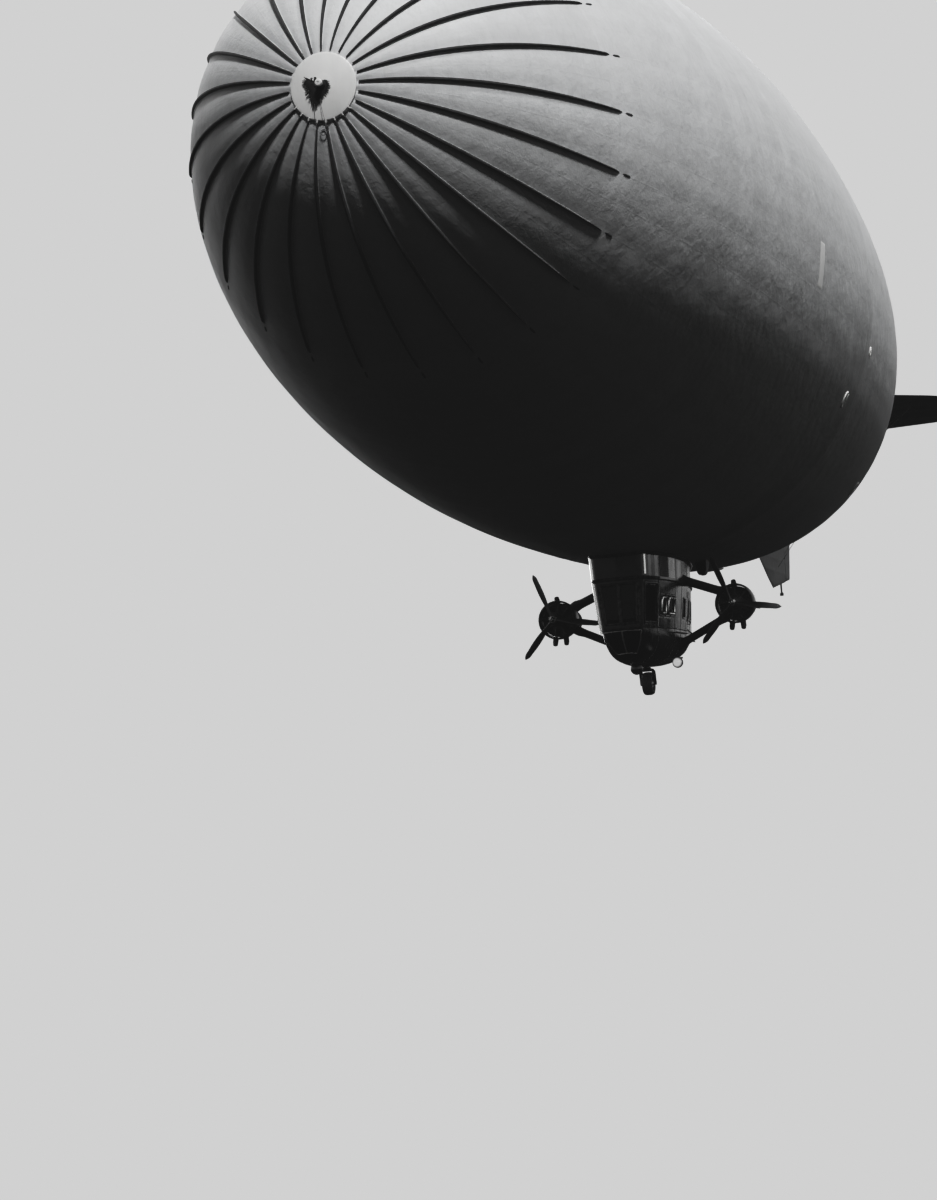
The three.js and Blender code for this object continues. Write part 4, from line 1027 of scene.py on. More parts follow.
def car_columns():
    """The car's plan from the bow's middle round the port side to the stern's middle: a flat
    front, a rounded corner, the side at every window's edge, and a rounded stern."""
    front = np.array([0.0, 0.03, 0.08, 0.16, 0.24, 0.32, 0.4, 0.5, 0.6])
    bow = np.column_stack([0.05 * (front / 0.5) ** 2, front])
    corner = np.radians([20, 40, 60, 78])
    start = bow[-1]
    end = np.array([0.24, float(car_half(0.24))])
    turn = np.column_stack([end[0] - (end[0] - start[0]) * np.cos(corner),
                            start[1] + (end[1] - start[1]) * np.sin(corner)])
    edges = [end[0], *SIDE_SCREEN, DOOR["start"], DOOR["end"], DOOR["start"] - DOOR["gap"],
             DOOR["end"] + DOOR["gap"], *DOOR["window"], *np.ravel(SIDE_WINDOWS)]
    grid = [s for s in np.arange(0.45, 11.9, 0.14) if min(abs(s - e) for e in edges) > 0.045]
    stations = np.array(sorted(edges + grid))
    side = np.column_stack([stations, car_half(stations)])
    close = np.radians([0, 25, 50, 70, 85])
    stern_half = float(car_half(STERN_CORNER))
    stern = np.column_stack([STERN_CORNER + 0.25 * np.sin(close),
                             stern_half * (0.35 + 0.65 * np.cos(close))])
    rest = np.column_stack([np.full(3, CAR_END), stern[-1, 1] * np.array([0.66, 0.33, 0.0])])
    return np.concatenate([bow, turn, side, stern, rest])


def car_rows():
    """Heights down the wall, with every window's edge, then angles round the belly."""
    edges = [WALL_TOP, CAR_SHOULDER, CAR_WAIST, DOOR["high"] + DOOR["gap"], DOOR["high"], DOOR["low"],
             *WINDOW_HEIGHTS, *SCREEN_HEIGHTS]
    grid = [z for z in np.arange(-8.72, -11.15, -0.12) if min(abs(z - e) for e in edges) > 0.04]
    return np.array(sorted(edges + grid, reverse=True)), np.radians(np.arange(3, 91, 3.0))


def car_grid():
    """Places (station, port, up) of the car's skin, rows down the wall and round the belly to the
    keel. In the belly the breadth runs as cos^0.87, the depth as sin^0.87, and the bow draws aft
    as cos^0.77 about a point BOW_ROUNDING behind it."""
    plan = car_columns()
    heights, angles = car_rows()
    station = np.broadcast_to(plan[:, 0], (len(heights), len(plan)))
    wall = np.stack([station, plan[:, 1] * side_factor(heights)[:, None],
                     np.broadcast_to(heights[:, None], station.shape)], -1)
    c, s = np.cos(angles).clip(1e-3)[:, None], np.sin(angles)[:, None]
    back = np.where(plan[:, 0] < BOW_ROUNDING,
                    BOW_ROUNDING - (BOW_ROUNDING - plan[:, 0]) * c ** 0.77, plan[:, 0] + 0 * c)
    keel = np.minimum(smooth(back, CAR_STATION, CAR_KEEL), CAR_WAIST - 0.14)
    breadth = plan[:, 1] * side_factor(CAR_WAIST) * c ** 0.87
    belly = np.stack([back, breadth, CAR_WAIST + (keel - CAR_WAIST) * s ** 0.87], -1)
    half = np.concatenate([wall, belly])
    mirror = half[:, ::-1] * np.array([1, -1, 1])
    return np.concatenate([half, mirror[:, 1:-1]], axis=1)


def car_place(points):
    """Model points for [station, port, up] in the car."""
    return place(CAR_BOW + points[..., 0], points[..., 1], points[..., 2])


def grid_normals(points):
    """Unit normals of a grid that closes round its second index, pointing away from the middle."""
    across = np.roll(points, -1, 1) - np.roll(points, 1, 1)
    down = np.gradient(points, axis=0)
    normals = unit(np.cross(across, down))
    middle = points.mean((0, 1))
    if np.sum((points - middle) * normals) < 0:
        normals = -normals
    return normals


def chin_faces(shape):
    """Faces of the skin in the chin window: a block of rows below the waist across the bow."""
    first = len(car_rows()[0]) - 1
    mask = np.zeros(shape, bool)
    rows = slice(first + CHIN_ROWS[0], first + CHIN_ROWS[1])
    mask[rows, :CHIN_COLUMNS] = True
    mask[rows, -CHIN_COLUMNS:] = True
    return mask


def window_masks(centres):
    """Which faces of the car's skin lie in each group of windows, in the door and in its gap."""
    s, y, z = np.moveaxis(centres, -1, 0)
    inside = lambda value, low, high: (value > low) & (value < high)
    screen = inside(z, *SCREEN_HEIGHTS)
    front = inside(s, -0.1, 0.08) & inside(np.abs(y), 0.03, 0.62)
    windscreen = screen & (front | inside(s, *SIDE_SCREEN))
    chin = chin_faces(s.shape)
    rows = inside(z, *WINDOW_HEIGHTS)
    forward = np.zeros_like(rows)
    aft = np.zeros_like(rows)
    for k, (start, end) in enumerate(SIDE_WINDOWS):
        (forward if k < 4 else aft)[...] |= rows & inside(s, start, end)
    door = inside(s, DOOR["start"], DOOR["end"]) & inside(z, DOOR["low"], DOOR["high"]) & (y > 0)
    hole = (inside(s, DOOR["start"] - DOOR["gap"], DOOR["end"] + DOOR["gap"])
            & inside(z, CAR_WAIST, DOOR["high"] + DOOR["gap"]) & (y > 0))
    pane = door & rows & inside(s, *DOOR["window"])
    return dict(windscreen=windscreen, chin=chin, forward=forward, aft=aft, door=door, hole=hole, pane=pane)


def wall_point(station, up, side, lift=0.0):
    """A place on the car's side, moved outwards by lift."""
    return car_place(np.stack(np.broadcast_arrays(
        station, side * (car_half(station) * side_factor(up) + lift), up), -1))


def round_rect(low, high, corner=0.05):
    """A closed path round a rectangle with quarter-circle corners, as [across, up] rows."""
    (a0, z0), (a1, z1) = low, high
    path = []
    for ca, cz, start in ((a1 - corner, z1 - corner, 0), (a0 + corner, z1 - corner, 90),
                          (a0 + corner, z0 + corner, 180), (a1 - corner, z0 + corner, 270)):
        angle = np.radians(start + np.linspace(0, 90, 5))
        path.append(np.column_stack([ca + corner * np.cos(angle), cz + corner * np.sin(angle)]))
    return np.concatenate(path)


def build_car(sizes):
    """The skin with its windows and door cut out, panes, frames, chin bars, door hinges and trim."""
    places = car_grid()
    points = car_place(places)
    centres = (places + np.roll(places, -1, 1))[:-1] / 4 + (places + np.roll(places, -1, 1))[1:] / 4
    masks = window_masks(centres)
    glazed = masks["windscreen"] | masks["chin"] | masks["forward"] | masks["aft"]
    normals = grid_normals(points)
    probe = Form().grid(points, caps=False, closed=False)
    quads = probe.faces[0].reshape(centres.shape[:2] + (4,))
    first = quads[10, 60]
    p = points.reshape(-1, 3)
    facing = np.cross(p[first[1]] - p[first[0]], p[first[2]] - p[first[0]]) @ normals.reshape(-1, 3)[first[0]]

    def sheet(keep, inset=0.0):
        form = Form().grid(points - normals * inset * SCALE, caps=False, closed=False, keep=keep)
        if facing < 0:
            form.faces = [group[:, ::-1] for group in form.faces]
        return tidy(form)

    wall = sizes.wall * SCALE
    piece("car_skin", sheet(~(glazed | masks["hole"])), "car_paint",
          replaces=["car_bow", "car_side_port", "car_side_starboard", "car_belly", "car_stern"],
          wall=wall)
    piece("car_door_skin", sheet(masks["door"] & ~masks["pane"]), "car_paint",
          replaces=["car_door"], body="door", wall=wall)
    piece("windscreen_panes", sheet(masks["windscreen"], 0.025), "glass", replaces=["windscreen"],
          wall=PANE_WALL)
    piece("chin_pane", sheet(masks["chin"], 0.025), "glass", replaces=["chin_window"],
          wall=PANE_WALL)
    port = places[:-1, :, 1] > 0
    for name, mask in (("port", port), ("starboard", ~port)):
        for group in ("forward", "aft"):
            piece(f"panes_{group}_{name}", sheet(masks[group] & mask, 0.02), "glass",
                  replaces=[f"windows_{group}_{name}"], wall=PANE_WALL)
    piece("door_glass", sheet(masks["pane"], 0.02), "glass", replaces=["door_pane"], body="door",
          wall=PANE_WALL)

    frames, door_trim = Form(), Form()
    width = sizes.frame_width * SCALE
    for side in (-1, 1):
        for start, end in (*SIDE_WINDOWS, SIDE_SCREEN):
            heights = SCREEN_HEIGHTS if start < 1 else WINDOW_HEIGHTS
            rect = round_rect((start - 0.01, heights[0] - 0.01), (end + 0.01, heights[1] + 0.01))
            frames.hoop(wall_point(rect[:, 0], rect[:, 1], side, 0.006), width, 8, 0.4)
        rect = round_rect((0.02, SCREEN_HEIGHTS[0] - 0.01), (0.61, SCREEN_HEIGHTS[1] + 0.01))
        front = place(CAR_BOW + 0.05 * (rect[:, 0] / 0.5) ** 2 - 0.006,
                      side * rect[:, 0] * side_factor(rect[:, 1]), rect[:, 1])
        frames.hoop(front, width, 8, 0.4, (1, 0, 0))
    start, end = DOOR["window"]
    rect = round_rect((start - 0.01, WINDOW_HEIGHTS[0] - 0.01), (end + 0.01, WINDOW_HEIGHTS[1] + 0.01))
    door_trim.hoop(wall_point(rect[:, 0], rect[:, 1], 1, 0.006), width, 8, 0.4)
    # Bright bars round and across the chin window, along the skin's own rows and columns
    bars = Form()
    first = len(car_rows()[0]) - 1
    top, low = first + CHIN_ROWS[0], first + CHIN_ROWS[1]
    across = np.arange(-CHIN_COLUMNS, CHIN_COLUMNS + 1)
    lifted = points + normals * 0.004
    for path in (lifted[top, across], lifted[low, across], lifted[top:low + 1, 0],
                 lifted[top:low + 1, CHIN_COLUMNS], lifted[top:low + 1, -CHIN_COLUMNS]):
        bars.grid(tube(path, 0.013, 8, flat=0.6, up=(0.3, 0, 1)))
    piece("chin_window_bars", bars, "hub_metal")
    # Hinge barrels on the leaning hinge line, the door's below the car's in each pair
    lean = (HINGE["shoulder"] - HINGE["waist"]) / (CAR_SHOULDER - CAR_WAIST)
    line = lambda ups: place(CAR_BOW + HINGE["station"], HINGE["waist"] + lean * (ups - CAR_WAIST), ups)
    knuckles = Form()
    for base in (DOOR["low"] + 0.29, DOOR["high"] - 0.45):
        for form, low, high in ((door_trim, base, base + 0.12), (knuckles, base + 0.122, base + 0.24)):
            barrel = line(np.linspace(low, high, 3))
            form.grid(tube(barrel, HINGE["radius"] * SCALE, 14, up=(1, 0, 0)))
    piece("door_knuckles", knuckles, "dark_steel")
    # Door handle
    handle = wall_point(7.38, np.array([-10.95, -10.95, -10.9, -10.85, -10.85]), 1,
                        np.array([0.0, 0.05, 0.06, 0.05, 0.0]))
    door_trim.grid(tube(handle, 0.008, 8, up=(1, 0, 0)))
    piece("window_frames", frames, "car_paint")
    piece("door_trim", door_trim, "dark_steel", body="door")
    build_car_trim(sizes, places)


def tidy(form):
    """Drops points that no face uses."""
    points = np.concatenate(form.points)
    used = np.unique(np.concatenate([group.ravel() for group in form.faces]))
    new = np.full(len(points), -1)
    new[used] = np.arange(len(used))
    form.points = [points[used]]
    form.faces = [new[group] for group in form.faces]
    form.count = len(used)
    return form


def build_car_trim(sizes, places):
    """Straps round the car at frame stations, rivets along them, belt mouldings, the hood over the
    windscreen, the fairing against the hull, slats, sheets, bright trim, grab rails and a step."""
    straps, rivets, mould = Form(), Form(), Form()
    columns = places.shape[1]
    points = car_place(places)
    normals = grid_normals(points)
    half = columns // 2 + 1
    plan = places[0, :half, 0]
    for station in (1.6, 3.75, 4.9, 6.3, 7.75, 9.5, 10.8):
        j = int(np.argmin(np.abs(plan - station) + (places[0, :half, 1] < 0.3)))
        for column in (j, columns - j):
            spine = points[2:-3, column]
            out = normals[2:-3, column]
            side = np.array([1.0, 0, 0])
            w, h = 0.022, 0.004
            ring = np.stack([spine - side * w - out * 0.002, spine - side * w * 0.9 + out * h,
                             spine + side * w * 0.9 + out * h, spine + side * w - out * 0.002], 1)
            straps.grid(ring)
            lengths = np.concatenate([[0], np.cumsum(np.linalg.norm(np.diff(spine, axis=0), axis=1))])
            at = np.arange(0.03, lengths[-1], 0.055)
            spots = np.stack([np.interp(at, lengths, spine[:, k]) for k in range(3)], -1)
            outs = unit(np.stack([np.interp(at, lengths, out[:, k]) for k in range(3)], -1))
            for shift in (-0.014, 0.014):
                rivets.copies(rivet(0.0045), frames_from(outs), spots + side * shift + outs * h)
    piece("car_straps", straps, "car_paint")
    piece("car_rivets", rivets, "hub_metal")

    heights = places[:, 0, 2]
    for up, radius, out in ((CAR_SHOULDER + 0.02, 0.022, 0.01), (CAR_WAIST - 0.02, 0.018, 0.006)):
        row = int(np.argmin(np.abs(heights - up)))
        path = points[row] + normals[row] * out
        door_middle = (DOOR["start"] + DOOR["end"]) / 2
        gap = (np.abs(places[row, :, 0] - door_middle) < 0.42) & (places[row, :, 1] > 0)
        order = np.roll(np.arange(columns), -int(np.nonzero(gap)[0][-1]) - 1)
        order = order[~gap[order]]
        mould.grid(tube(path[order], radius, 8, flat=0.6))
    # Hood over the windscreen
    row = int(np.argmin(np.abs(heights + 9.56)))
    ahead = [k for k in range(columns) if places[row, k, 0] < 1.5]
    order = sorted(ahead, key=lambda k: (k + columns // 2) % columns)
    base, out = points[row][order], normals[row][order]
    reach = sizes.hood_reach * SCALE
    lip = np.stack([base - out * 0.01 + [0, 0, 0.035], base + out * reach * 0.7 + [0, 0, 0.025],
                    base + out * reach + [0, 0, 0.0], base + out * reach * 0.95 + [0, 0, -0.012],
                    base + out * reach * 0.4 + [0, 0, -0.002], base - out * 0.01 + [0, 0, 0.0]], 1)
    mould.grid(lip)
    # Fairing where the car meets the hull
    aft = CAR_BOW + places[0, :, 0]
    y = places[0, :, 1]
    depth = -np.sqrt(hull_radius(aft) ** 2 - y ** 2)
    mould.hoop(place(aft, y, depth - 0.03), 0.05, 10, 0.8, (0, 0, 1))
    piece("car_mouldings", mould, "car_paint")

    # Black slats ahead of the windows; a bright metal strip up each bow corner, thicker and longer to
    # starboard, and pale grey sheets along the sides, both painted reflection standing for sky mirrored in
    # the glossy paint; and bright beading round two panes
    slats, bare, sheets = Form(), Form(), Form()
    ups = np.linspace(-8.45, -9.5, 43)
    for side in (-1, 1):
        comb = 0.012 + 0.012 * (np.arange(43) % 3 == 1)
        # The pale sheets are painted reflection: paler paint where the sides mirror bright sky
        for form, first, last, lift in ((slats, 1.68, 2.62, comb), (sheets, 0.62, 0.86, 0.004),
                                        (sheets, 1.18, 1.56, 0.004), (sheets, 2.72, 3.55, 0.004),
                                        (sheets, 5.1, 6.15, 0.004), (sheets, 6.45, 8.9, 0.004)):
            stations = first + (last - first) * np.array([0, 0, 0.25, 0.5, 0.75, 1, 1])
            lifts = np.array([0, 1, 1, 1, 1, 1, 0])
            form.grid(np.stack([wall_point(at, ups, side, lift * high - 0.01 * (1 - high))
                                for at, high in zip(stations, lifts)], 1))
        # Painted reflection: the starboard corner strip runs longer and thicker, for the bright edge mirrored
        # on that corner
        foot, thick = (-9.45, 0.025) if side > 0 else (-11.3, 0.05)
        post = wall_point(SIDE_SCREEN[0], np.linspace(-8.4, foot, 30), side)
        bare.grid(tube(post, thick, 8, up=(1, 0, 0)))
        for low, high in (((1.9, -10.72), (2.42, -10.2)), ((2.72, -10.72), (3.62, -10.2))):
            path = round_rect(low, high, 0.1)
            bare.hoop(wall_point(path[:, 0], path[:, 1], side, 0.012), 0.02, 8)
    piece("ventilator_slats", slats, "black")
    piece("corner_sheets", sheets, "frame_grey")
    piece("bare_metal_trim", bare, "bright_trim")

    small = Form()
    # Grab rails and a step below the door
    for side in (-1, 1):
        rail = wall_point(np.linspace(3.7, 6.2, 16), RAIL_UP, side, 0.09)
        small.grid(tube(rail, 0.012, 8))
        for station in (3.8, 5.0, 6.1):
            post = wall_point(station, RAIL_UP, side, np.array([-0.02, 0.04, 0.09]))
            small.grid(tube(post, 0.01, 8, up=(1, 0, 0)))
    step = car_place(np.array([[6.8, 0.82, -11.5], [6.8, 1.14, -11.58],
                               [7.45, 1.1, -11.58], [7.45, 0.76, -11.5]]))
    small.grid(tube(step, 0.012, 8, up=(0, 0, 1)))
    piece("car_rails", small, "dark_steel")


# Engines


def build_engine(name, side):
    """Ring cowl, baffles, nine finned cylinders on a crankcase, pipes, nacelle and outriggers."""
    port, up = side * ENGINE_OUT, ENGINE_UP
    turned = lambda rows, sides=48: ship_lathe(np.asarray(rows) + [ENGINE_AFT, 0], sides, port, up)
    round_shaft = lambda at, radius, clock: ring_places(ENGINE_AFT + at, radius, clock, port, up)

    cowl = Form()
    angle = np.linspace(0, 2 * np.pi, 37)[:-1]
    # Cowl section: chord 0.8, an outer bulge and a thin inner wall
    u = 0.5 - 0.5 * np.cos(angle)
    outer = np.sin(angle) >= 0
    bulge = np.where(outer, 0.056 * np.sin(np.pi * u ** 0.55) ** 0.8, -0.016 * np.sin(np.pi * u) ** 0.5)
    rows = np.column_stack([-0.42 + 0.8 * u, 0.63 + bulge])
    cowl.grid(turned(rows, 96), ring=True, caps=False)
    spots = turns(36)
    for at, radius in ((-0.3, 0.683), (0.3, 0.66)):
        cowl.copies(rivet(0.006), frames_outward(spots), round_shaft(at, radius, spots))
    piece("cowl_shell_" + name, cowl, "dark_paint", replaces=["cowl_ring_" + name])

    # Baffle plates behind the cylinders, and stub pipes below and above the ring
    baffle = Form()
    baffle.grid(turned([[0.11, 0.22], [0.11, 0.6], [0.125, 0.6], [0.125, 0.22]]), ring=True, caps=False)
    for across, reach in ((-0.2, 0.86), (0.2, 0.86), (-0.02, -0.79)):
        path = place(ENGINE_AFT + np.array([0.05, 0.0, -0.06]),
                     port + across * np.array([0.9, 1.0, 1.0]), up - reach * np.array([0.7, 0.9, 1.0]))
        baffle.grid(tube(path, np.array([0.05, 0.048, 0.04]), 14, up=(1, 0, 0)))
    piece("engine_baffles_" + name, baffle, "black")

    motor = Form()
    case = [[-0.855, 0.01], [-0.855, 0.07], [-0.78, 0.09], [-0.7, 0.105], [-0.62, 0.15], [-0.5, 0.2],
            [-0.36, 0.235], [-0.34, 0.26], [-0.28, 0.26], [-0.26, 0.235], [-0.16, 0.25], [0.16, 0.25],
            [0.28, 0.22], [0.28, 0.02]]
    motor.grid(turned(case))
    motor.copies(nut(0.009), frames_ahead(18), round_shaft(-0.345, 0.245, turns(18)))
    # Barrel: [distance from the crankshaft, radius], with a fin every 24 mm
    fins = np.arange(0.27, 0.5, 0.024)
    barrel = [[0.2, 0.085]]
    for at in fins:
        barrel += [[at, 0.078], [at + 0.001, 0.1], [at + 0.009, 0.1], [at + 0.01, 0.078]]
    barrel += [[0.5, 0.09], [0.53, 0.095], [0.56, 0.08], [0.585, 0.05], [0.59, 0.01]]
    barrel = np.array(barrel)
    spin = turns(20)
    for a in turns(9):
        c, s = math.cos(a), math.sin(a)
        # Places from a cylinder's own axes: aft, away from the crankshaft and across
        spot = lambda aft, away, across: place(ENGINE_AFT + aft, port + s * away + c * across,
                                               up + c * away - s * across)
        motor.grid(spot(barrel[:, 1:] * np.cos(spin), barrel[:, :1], barrel[:, 1:] * np.sin(spin)))
        for shift in (-0.05, 0.05):
            rod = spot(np.array([-0.3, -0.2, -0.1]), np.array([0.24, 0.4, 0.56]), shift)
            motor.grid(tube(rod, 0.008, 8, up=(1, 0, 0.1)))
            motor.grid(ball(spot(-0.09, 0.555, shift), 0.022, 8, 12, "x"))
    # Exhaust collector behind the cylinders, and the ignition ring in front
    motor.hoop(round_shaft(0.2, 0.47, turns(48)), 0.03, 10, up=(1, 0, 0))
    motor.hoop(round_shaft(-0.24, 0.3, turns(48)), 0.008, up=(1, 0, 0))
    piece("radial_" + name, motor, "engine_metal", replaces=["engine_" + name])

    body = Form()
    t = np.linspace(0, 1, 40)
    # The radius rises to 0.5 within the first tenth, and falls as a power beyond three tenths
    nose = np.sqrt(np.minimum(1, (t + 0.012) / 0.09).clip(0, 1) ** 0.6)
    taper = 1 - 0.86 * (t.clip(0.3, 1) - 0.3) ** 1.9 / 0.7 ** 1.9
    rows = np.column_stack([0.3 + 2.55 * t, 0.5 * nose * taper])
    rows = np.concatenate([[[0.3, 0.02]], rows, [[2.85, 0.02]]])
    body.grid(turned(rows, 64))
    for at in (0.62, 1.15, 1.75):
        radius = float(np.interp(at, rows[1:-1, 0], rows[1:-1, 1]))
        a = np.linspace(-np.pi, np.pi, 9)[:-1]
        bead = np.column_stack([at + 0.03 * np.cos(a), radius + 0.008 * np.sin(a)])
        body.grid(turned(bead, 64), ring=True, caps=False)
        spots = turns(40)
        body.copies(rivet(0.0045), frames_outward(spots), round_shaft(at, radius + 0.006, spots))
    for turn in np.radians([60, 75, 105, 120, -60, -75, -105, -120]):
        path = round_shaft(np.array([0.7, 0.8, 1.0]), 0.5, turn)
        body.grid(tube(path, np.array([0.006, 0.016, 0.012]), 8))
    piece("nacelle_skin_" + name, body, "black", replaces=["nacelle_" + name])

    exhaust = Form()
    path = place(ENGINE_AFT + np.array([0.2, 0.4, 0.7, 1.1, 1.35]),
                 port + side * np.array([0.45, 0.53, 0.57, 0.57, 0.6]), up - 0.12)
    exhaust.grid(tube(path, 0.035, 16))
    piece("exhaust_pipe_" + name, exhaust, "engine_metal")

    rows = (("upper", (2.75, -10.08), (0.95, -9.36), 0.35, 0.8),
            ("lower", (2.75, -10.84), (0.65, -11.86), 0.32, 0.7))
    for label, outboard, inboard, thick, chord in rows:
        arm = Form()
        angle = turns(28)
        share = np.linspace(0.1, 1.08, 24)
        centre_out = inboard[0] + (outboard[0] - inboard[0]) * share
        centre_up = inboard[1] + (outboard[1] - inboard[1]) * share
        # Streamlined section: an ellipse drawn to a fine tail, flared into a cuff at each end
        flare = 1 + 0.35 * np.exp(-((share - 0.16) / 0.07) ** 2) + 0.3 * np.exp(-((share - 0.97) / 0.08) ** 2)
        along = -np.cos(angle)
        width = np.sin(angle) * (1 - 0.45 * (along + 1) / 2)
        aft = ENGINE_AFT + 0.84 + 0.5 * chord * along[None, :] * (0.9 + 0.1 * flare[:, None])
        arm.grid(place(aft, side * centre_out[:, None] + 0 * aft,
                       centre_up[:, None] + 0.58 * thick * flare[:, None] * width))
        piece(f"outrigger_skin_{label}_{name}", arm, "black",
              replaces=[f"outrigger_{label}_{name}"])


def build_propeller(name, side):
    """Three blades: chord, thickness and pitch run smoothly along the radius."""
    form = Form()
    hub_aft = ENGINE_AFT - PROPELLER_AHEAD
    port, up = side * ENGINE_OUT, ENGINE_UP
    knots = np.array([0.08, 0.3, 0.8, 1.35, 1.62, 1.7])
    tip = 1.7 - 0.1 * np.cos(np.linspace(0.2, 1, 8) * np.pi / 2)
    radius = np.concatenate([np.linspace(0.08, 1.6, 34), tip])
    chord = smooth(radius, knots, np.array([0.1, 0.14, 0.23, 0.2, 0.13, 0.03]))
    thick = smooth(radius, knots, np.array([0.1, 0.08, 0.045, 0.028, 0.018, 0.008]))
    pitch = np.radians(np.interp(radius, knots, [50, 45, 30, 20, 16, 15]))[:, None]
    angle = turns(24)
    across = chord[:, None] * 0.5 * np.cos(angle)
    deep = thick[:, None] * np.where(np.sin(angle) > 0, 0.5, 0.3) * np.sin(angle)
    fore = -(across * np.sin(pitch) + deep * np.cos(pitch))
    wide = across * np.cos(pitch) - deep * np.sin(pitch)
    high = np.broadcast_to(radius[:, None], wide.shape)
    for k in range(3):
        a = math.radians(k * 120 + 20)
        y = wide * math.cos(a) - high * math.sin(a)
        z = wide * math.sin(a) + high * math.cos(a)
        form.grid(place(hub_aft + fore, port + y, up + z))
    hub = [[-0.22, 0.01], [-0.215, 0.03], [-0.2, 0.05], [-0.12, 0.06], [-0.1, 0.1], [-0.05, 0.115],
           [0.06, 0.12], [0.1, 0.11], [0.1194, 0.09], [0.1194, 0.01]]
    form.grid(ship_lathe(np.array(hub) + [hub_aft, 0], 40, port, up))
    form.copies(nut(0.008), frames_ahead(8), ring_places(hub_aft - 0.1, 0.08, turns(8), port, up))
    piece("airscrew_" + name, form, "dark_paint", replaces=["propeller_" + name],
          body=name + "_propeller", crease=50.0)
    collar = Form()
    for at, radius, thick in ((-0.085, 0.1, 0.016), (-0.2, 0.04, 0.012), (0.055, 0.118, 0.012)):
        turn = np.linspace(-np.pi, np.pi, 9)[:-1]
        ring = np.column_stack([hub_aft + at + thick * np.cos(turn), radius + thick * np.sin(turn)])
        collar.grid(ship_lathe(ring, 40, port, up), ring=True, caps=False)
    # Painted highlight: only the port collar gets the bright polished metal, to give the port hub its glint;
    # the starboard one is plain steel
    shine = "bright_trim" if side > 0 else "steel"
    piece("airscrew_collar_" + name, collar, shine, body=name + "_propeller")


# Landing gear and small fittings


def build_gear():
    """Leg, castering fork, cast hub with bolts and a grooved tyre."""
    leg = Form()
    line = place(CASTER_AFT, 0, 0)
    rows = [[-6.2247, 0.065], [-6.2247, 0.066], [-6.18, 0.06], [-6.17, 0.072], [-6.13, 0.072], [-6.12, 0.06],
            [-6.05, 0.06]]
    leg.grid(lathe(rows, 32, line, "z"))
    piece("gear_leg_sleeve", leg, "dark_steel", replaces=["gear_leg"])

    fork = Form()
    crown = [[-6.2503, 0.05], [-6.248, 0.07], [-6.235, 0.075], [-6.2256, 0.07], [-6.2253, 0.05]]
    fork.grid(lathe(crown, 32, line, "z"))
    across = np.linspace(-0.19, 0.19, 7)
    fork.grid(tube(place(CASTER_AFT, across, -12.54), 0.024, 12))
    for side in (-1, 1):
        up = np.array([-12.51, -12.54, -12.6, -12.75, -12.92, -13.0, -13.06])
        aft = np.array([31.0, 31.0, 31.02, 31.06, 31.09, 31.1, 31.1])
        out = np.array([0.12, 0.2, 0.2225, 0.2225, 0.2225, 0.2225, 0.2225])
        path = place(aft, side * out, up)
        radius = np.array([0.016, 0.024, 0.034, 0.034, 0.033, 0.034, 0.03])
        fork.grid(tube(path, radius, 16, flat=0.3, up=(1, 0, 0)))
        fork.grid(lathe(np.array([[0.0, 0.02], [0.012, 0.02], [0.014, 0.012]]) * [side, 1], 12,
                        place(AXLE_AFT, side * 0.246, AXLE_UP), "y"))
    axle = place(AXLE_AFT, 0, AXLE_UP)
    fork.grid(lathe([[-0.112, 0.0175], [0.112, 0.0175]], 20, axle, "y"))
    piece("caster_fork", fork, "black", replaces=["wheel_fork"], body="caster")

    hub = Form()
    rows = np.array([[-0.18, 0.037], [-0.18, 0.06], [-0.16, 0.07], [-0.13, 0.085], [-0.09, 0.12],
                     [-0.095, 0.17], [-0.12, 0.19], [-0.12, 0.2], [0.12, 0.2], [0.12, 0.19],
                     [0.095, 0.17], [0.09, 0.12], [0.13, 0.085], [0.16, 0.07], [0.18, 0.06],
                     [0.18, 0.037]]) * SCALE
    hub.grid(lathe(rows, 48, axle, "y"), ring=True, caps=False)
    spots = turns(8)
    for side in (-1, 1):
        outs = np.tile([[0, side, 0.0]], (8, 1))
        ring = place(AXLE_AFT + 0.105 * np.cos(spots), side * 0.106, AXLE_UP + 0.105 * np.sin(spots))
        hub.copies(nut(0.006), frames_from(outs), ring)
    piece("wheel_casting", hub, "hub_metal", replaces=["wheel_hub"], body="wheel")

    tyre = Form()
    angle = np.radians(np.linspace(-150, 150, 45))
    side_ = 0.18 * np.sign(np.sin(angle)) * np.abs(np.sin(angle)) ** 0.8
    radius = 0.3 + 0.1 * np.sign(np.cos(angle)) * np.abs(np.cos(angle)) ** 0.75
    groove = np.isin(np.arange(45), [17, 20, 22, 24, 27]) * 0.008
    around = 96
    spin = turns(around)
    shoulder = (np.abs(side_) > 0.085) & (np.abs(side_) < 0.155) & (radius > 0.33)
    cross = 0.007 * shoulder[:, None] * (np.arange(around) % 4 < 2)[None, :]
    r = (radius - groove)[:, None] - cross
    y = np.broadcast_to(side_[:, None], r.shape)
    tyre.grid(place(AXLE_AFT + r * np.cos(spin), y, AXLE_UP + r * np.sin(spin)), ring=True, caps=False)
    piece("tyre_tread", tyre, "tyre", replaces=["tyre"], body="wheel", crease=30.0)


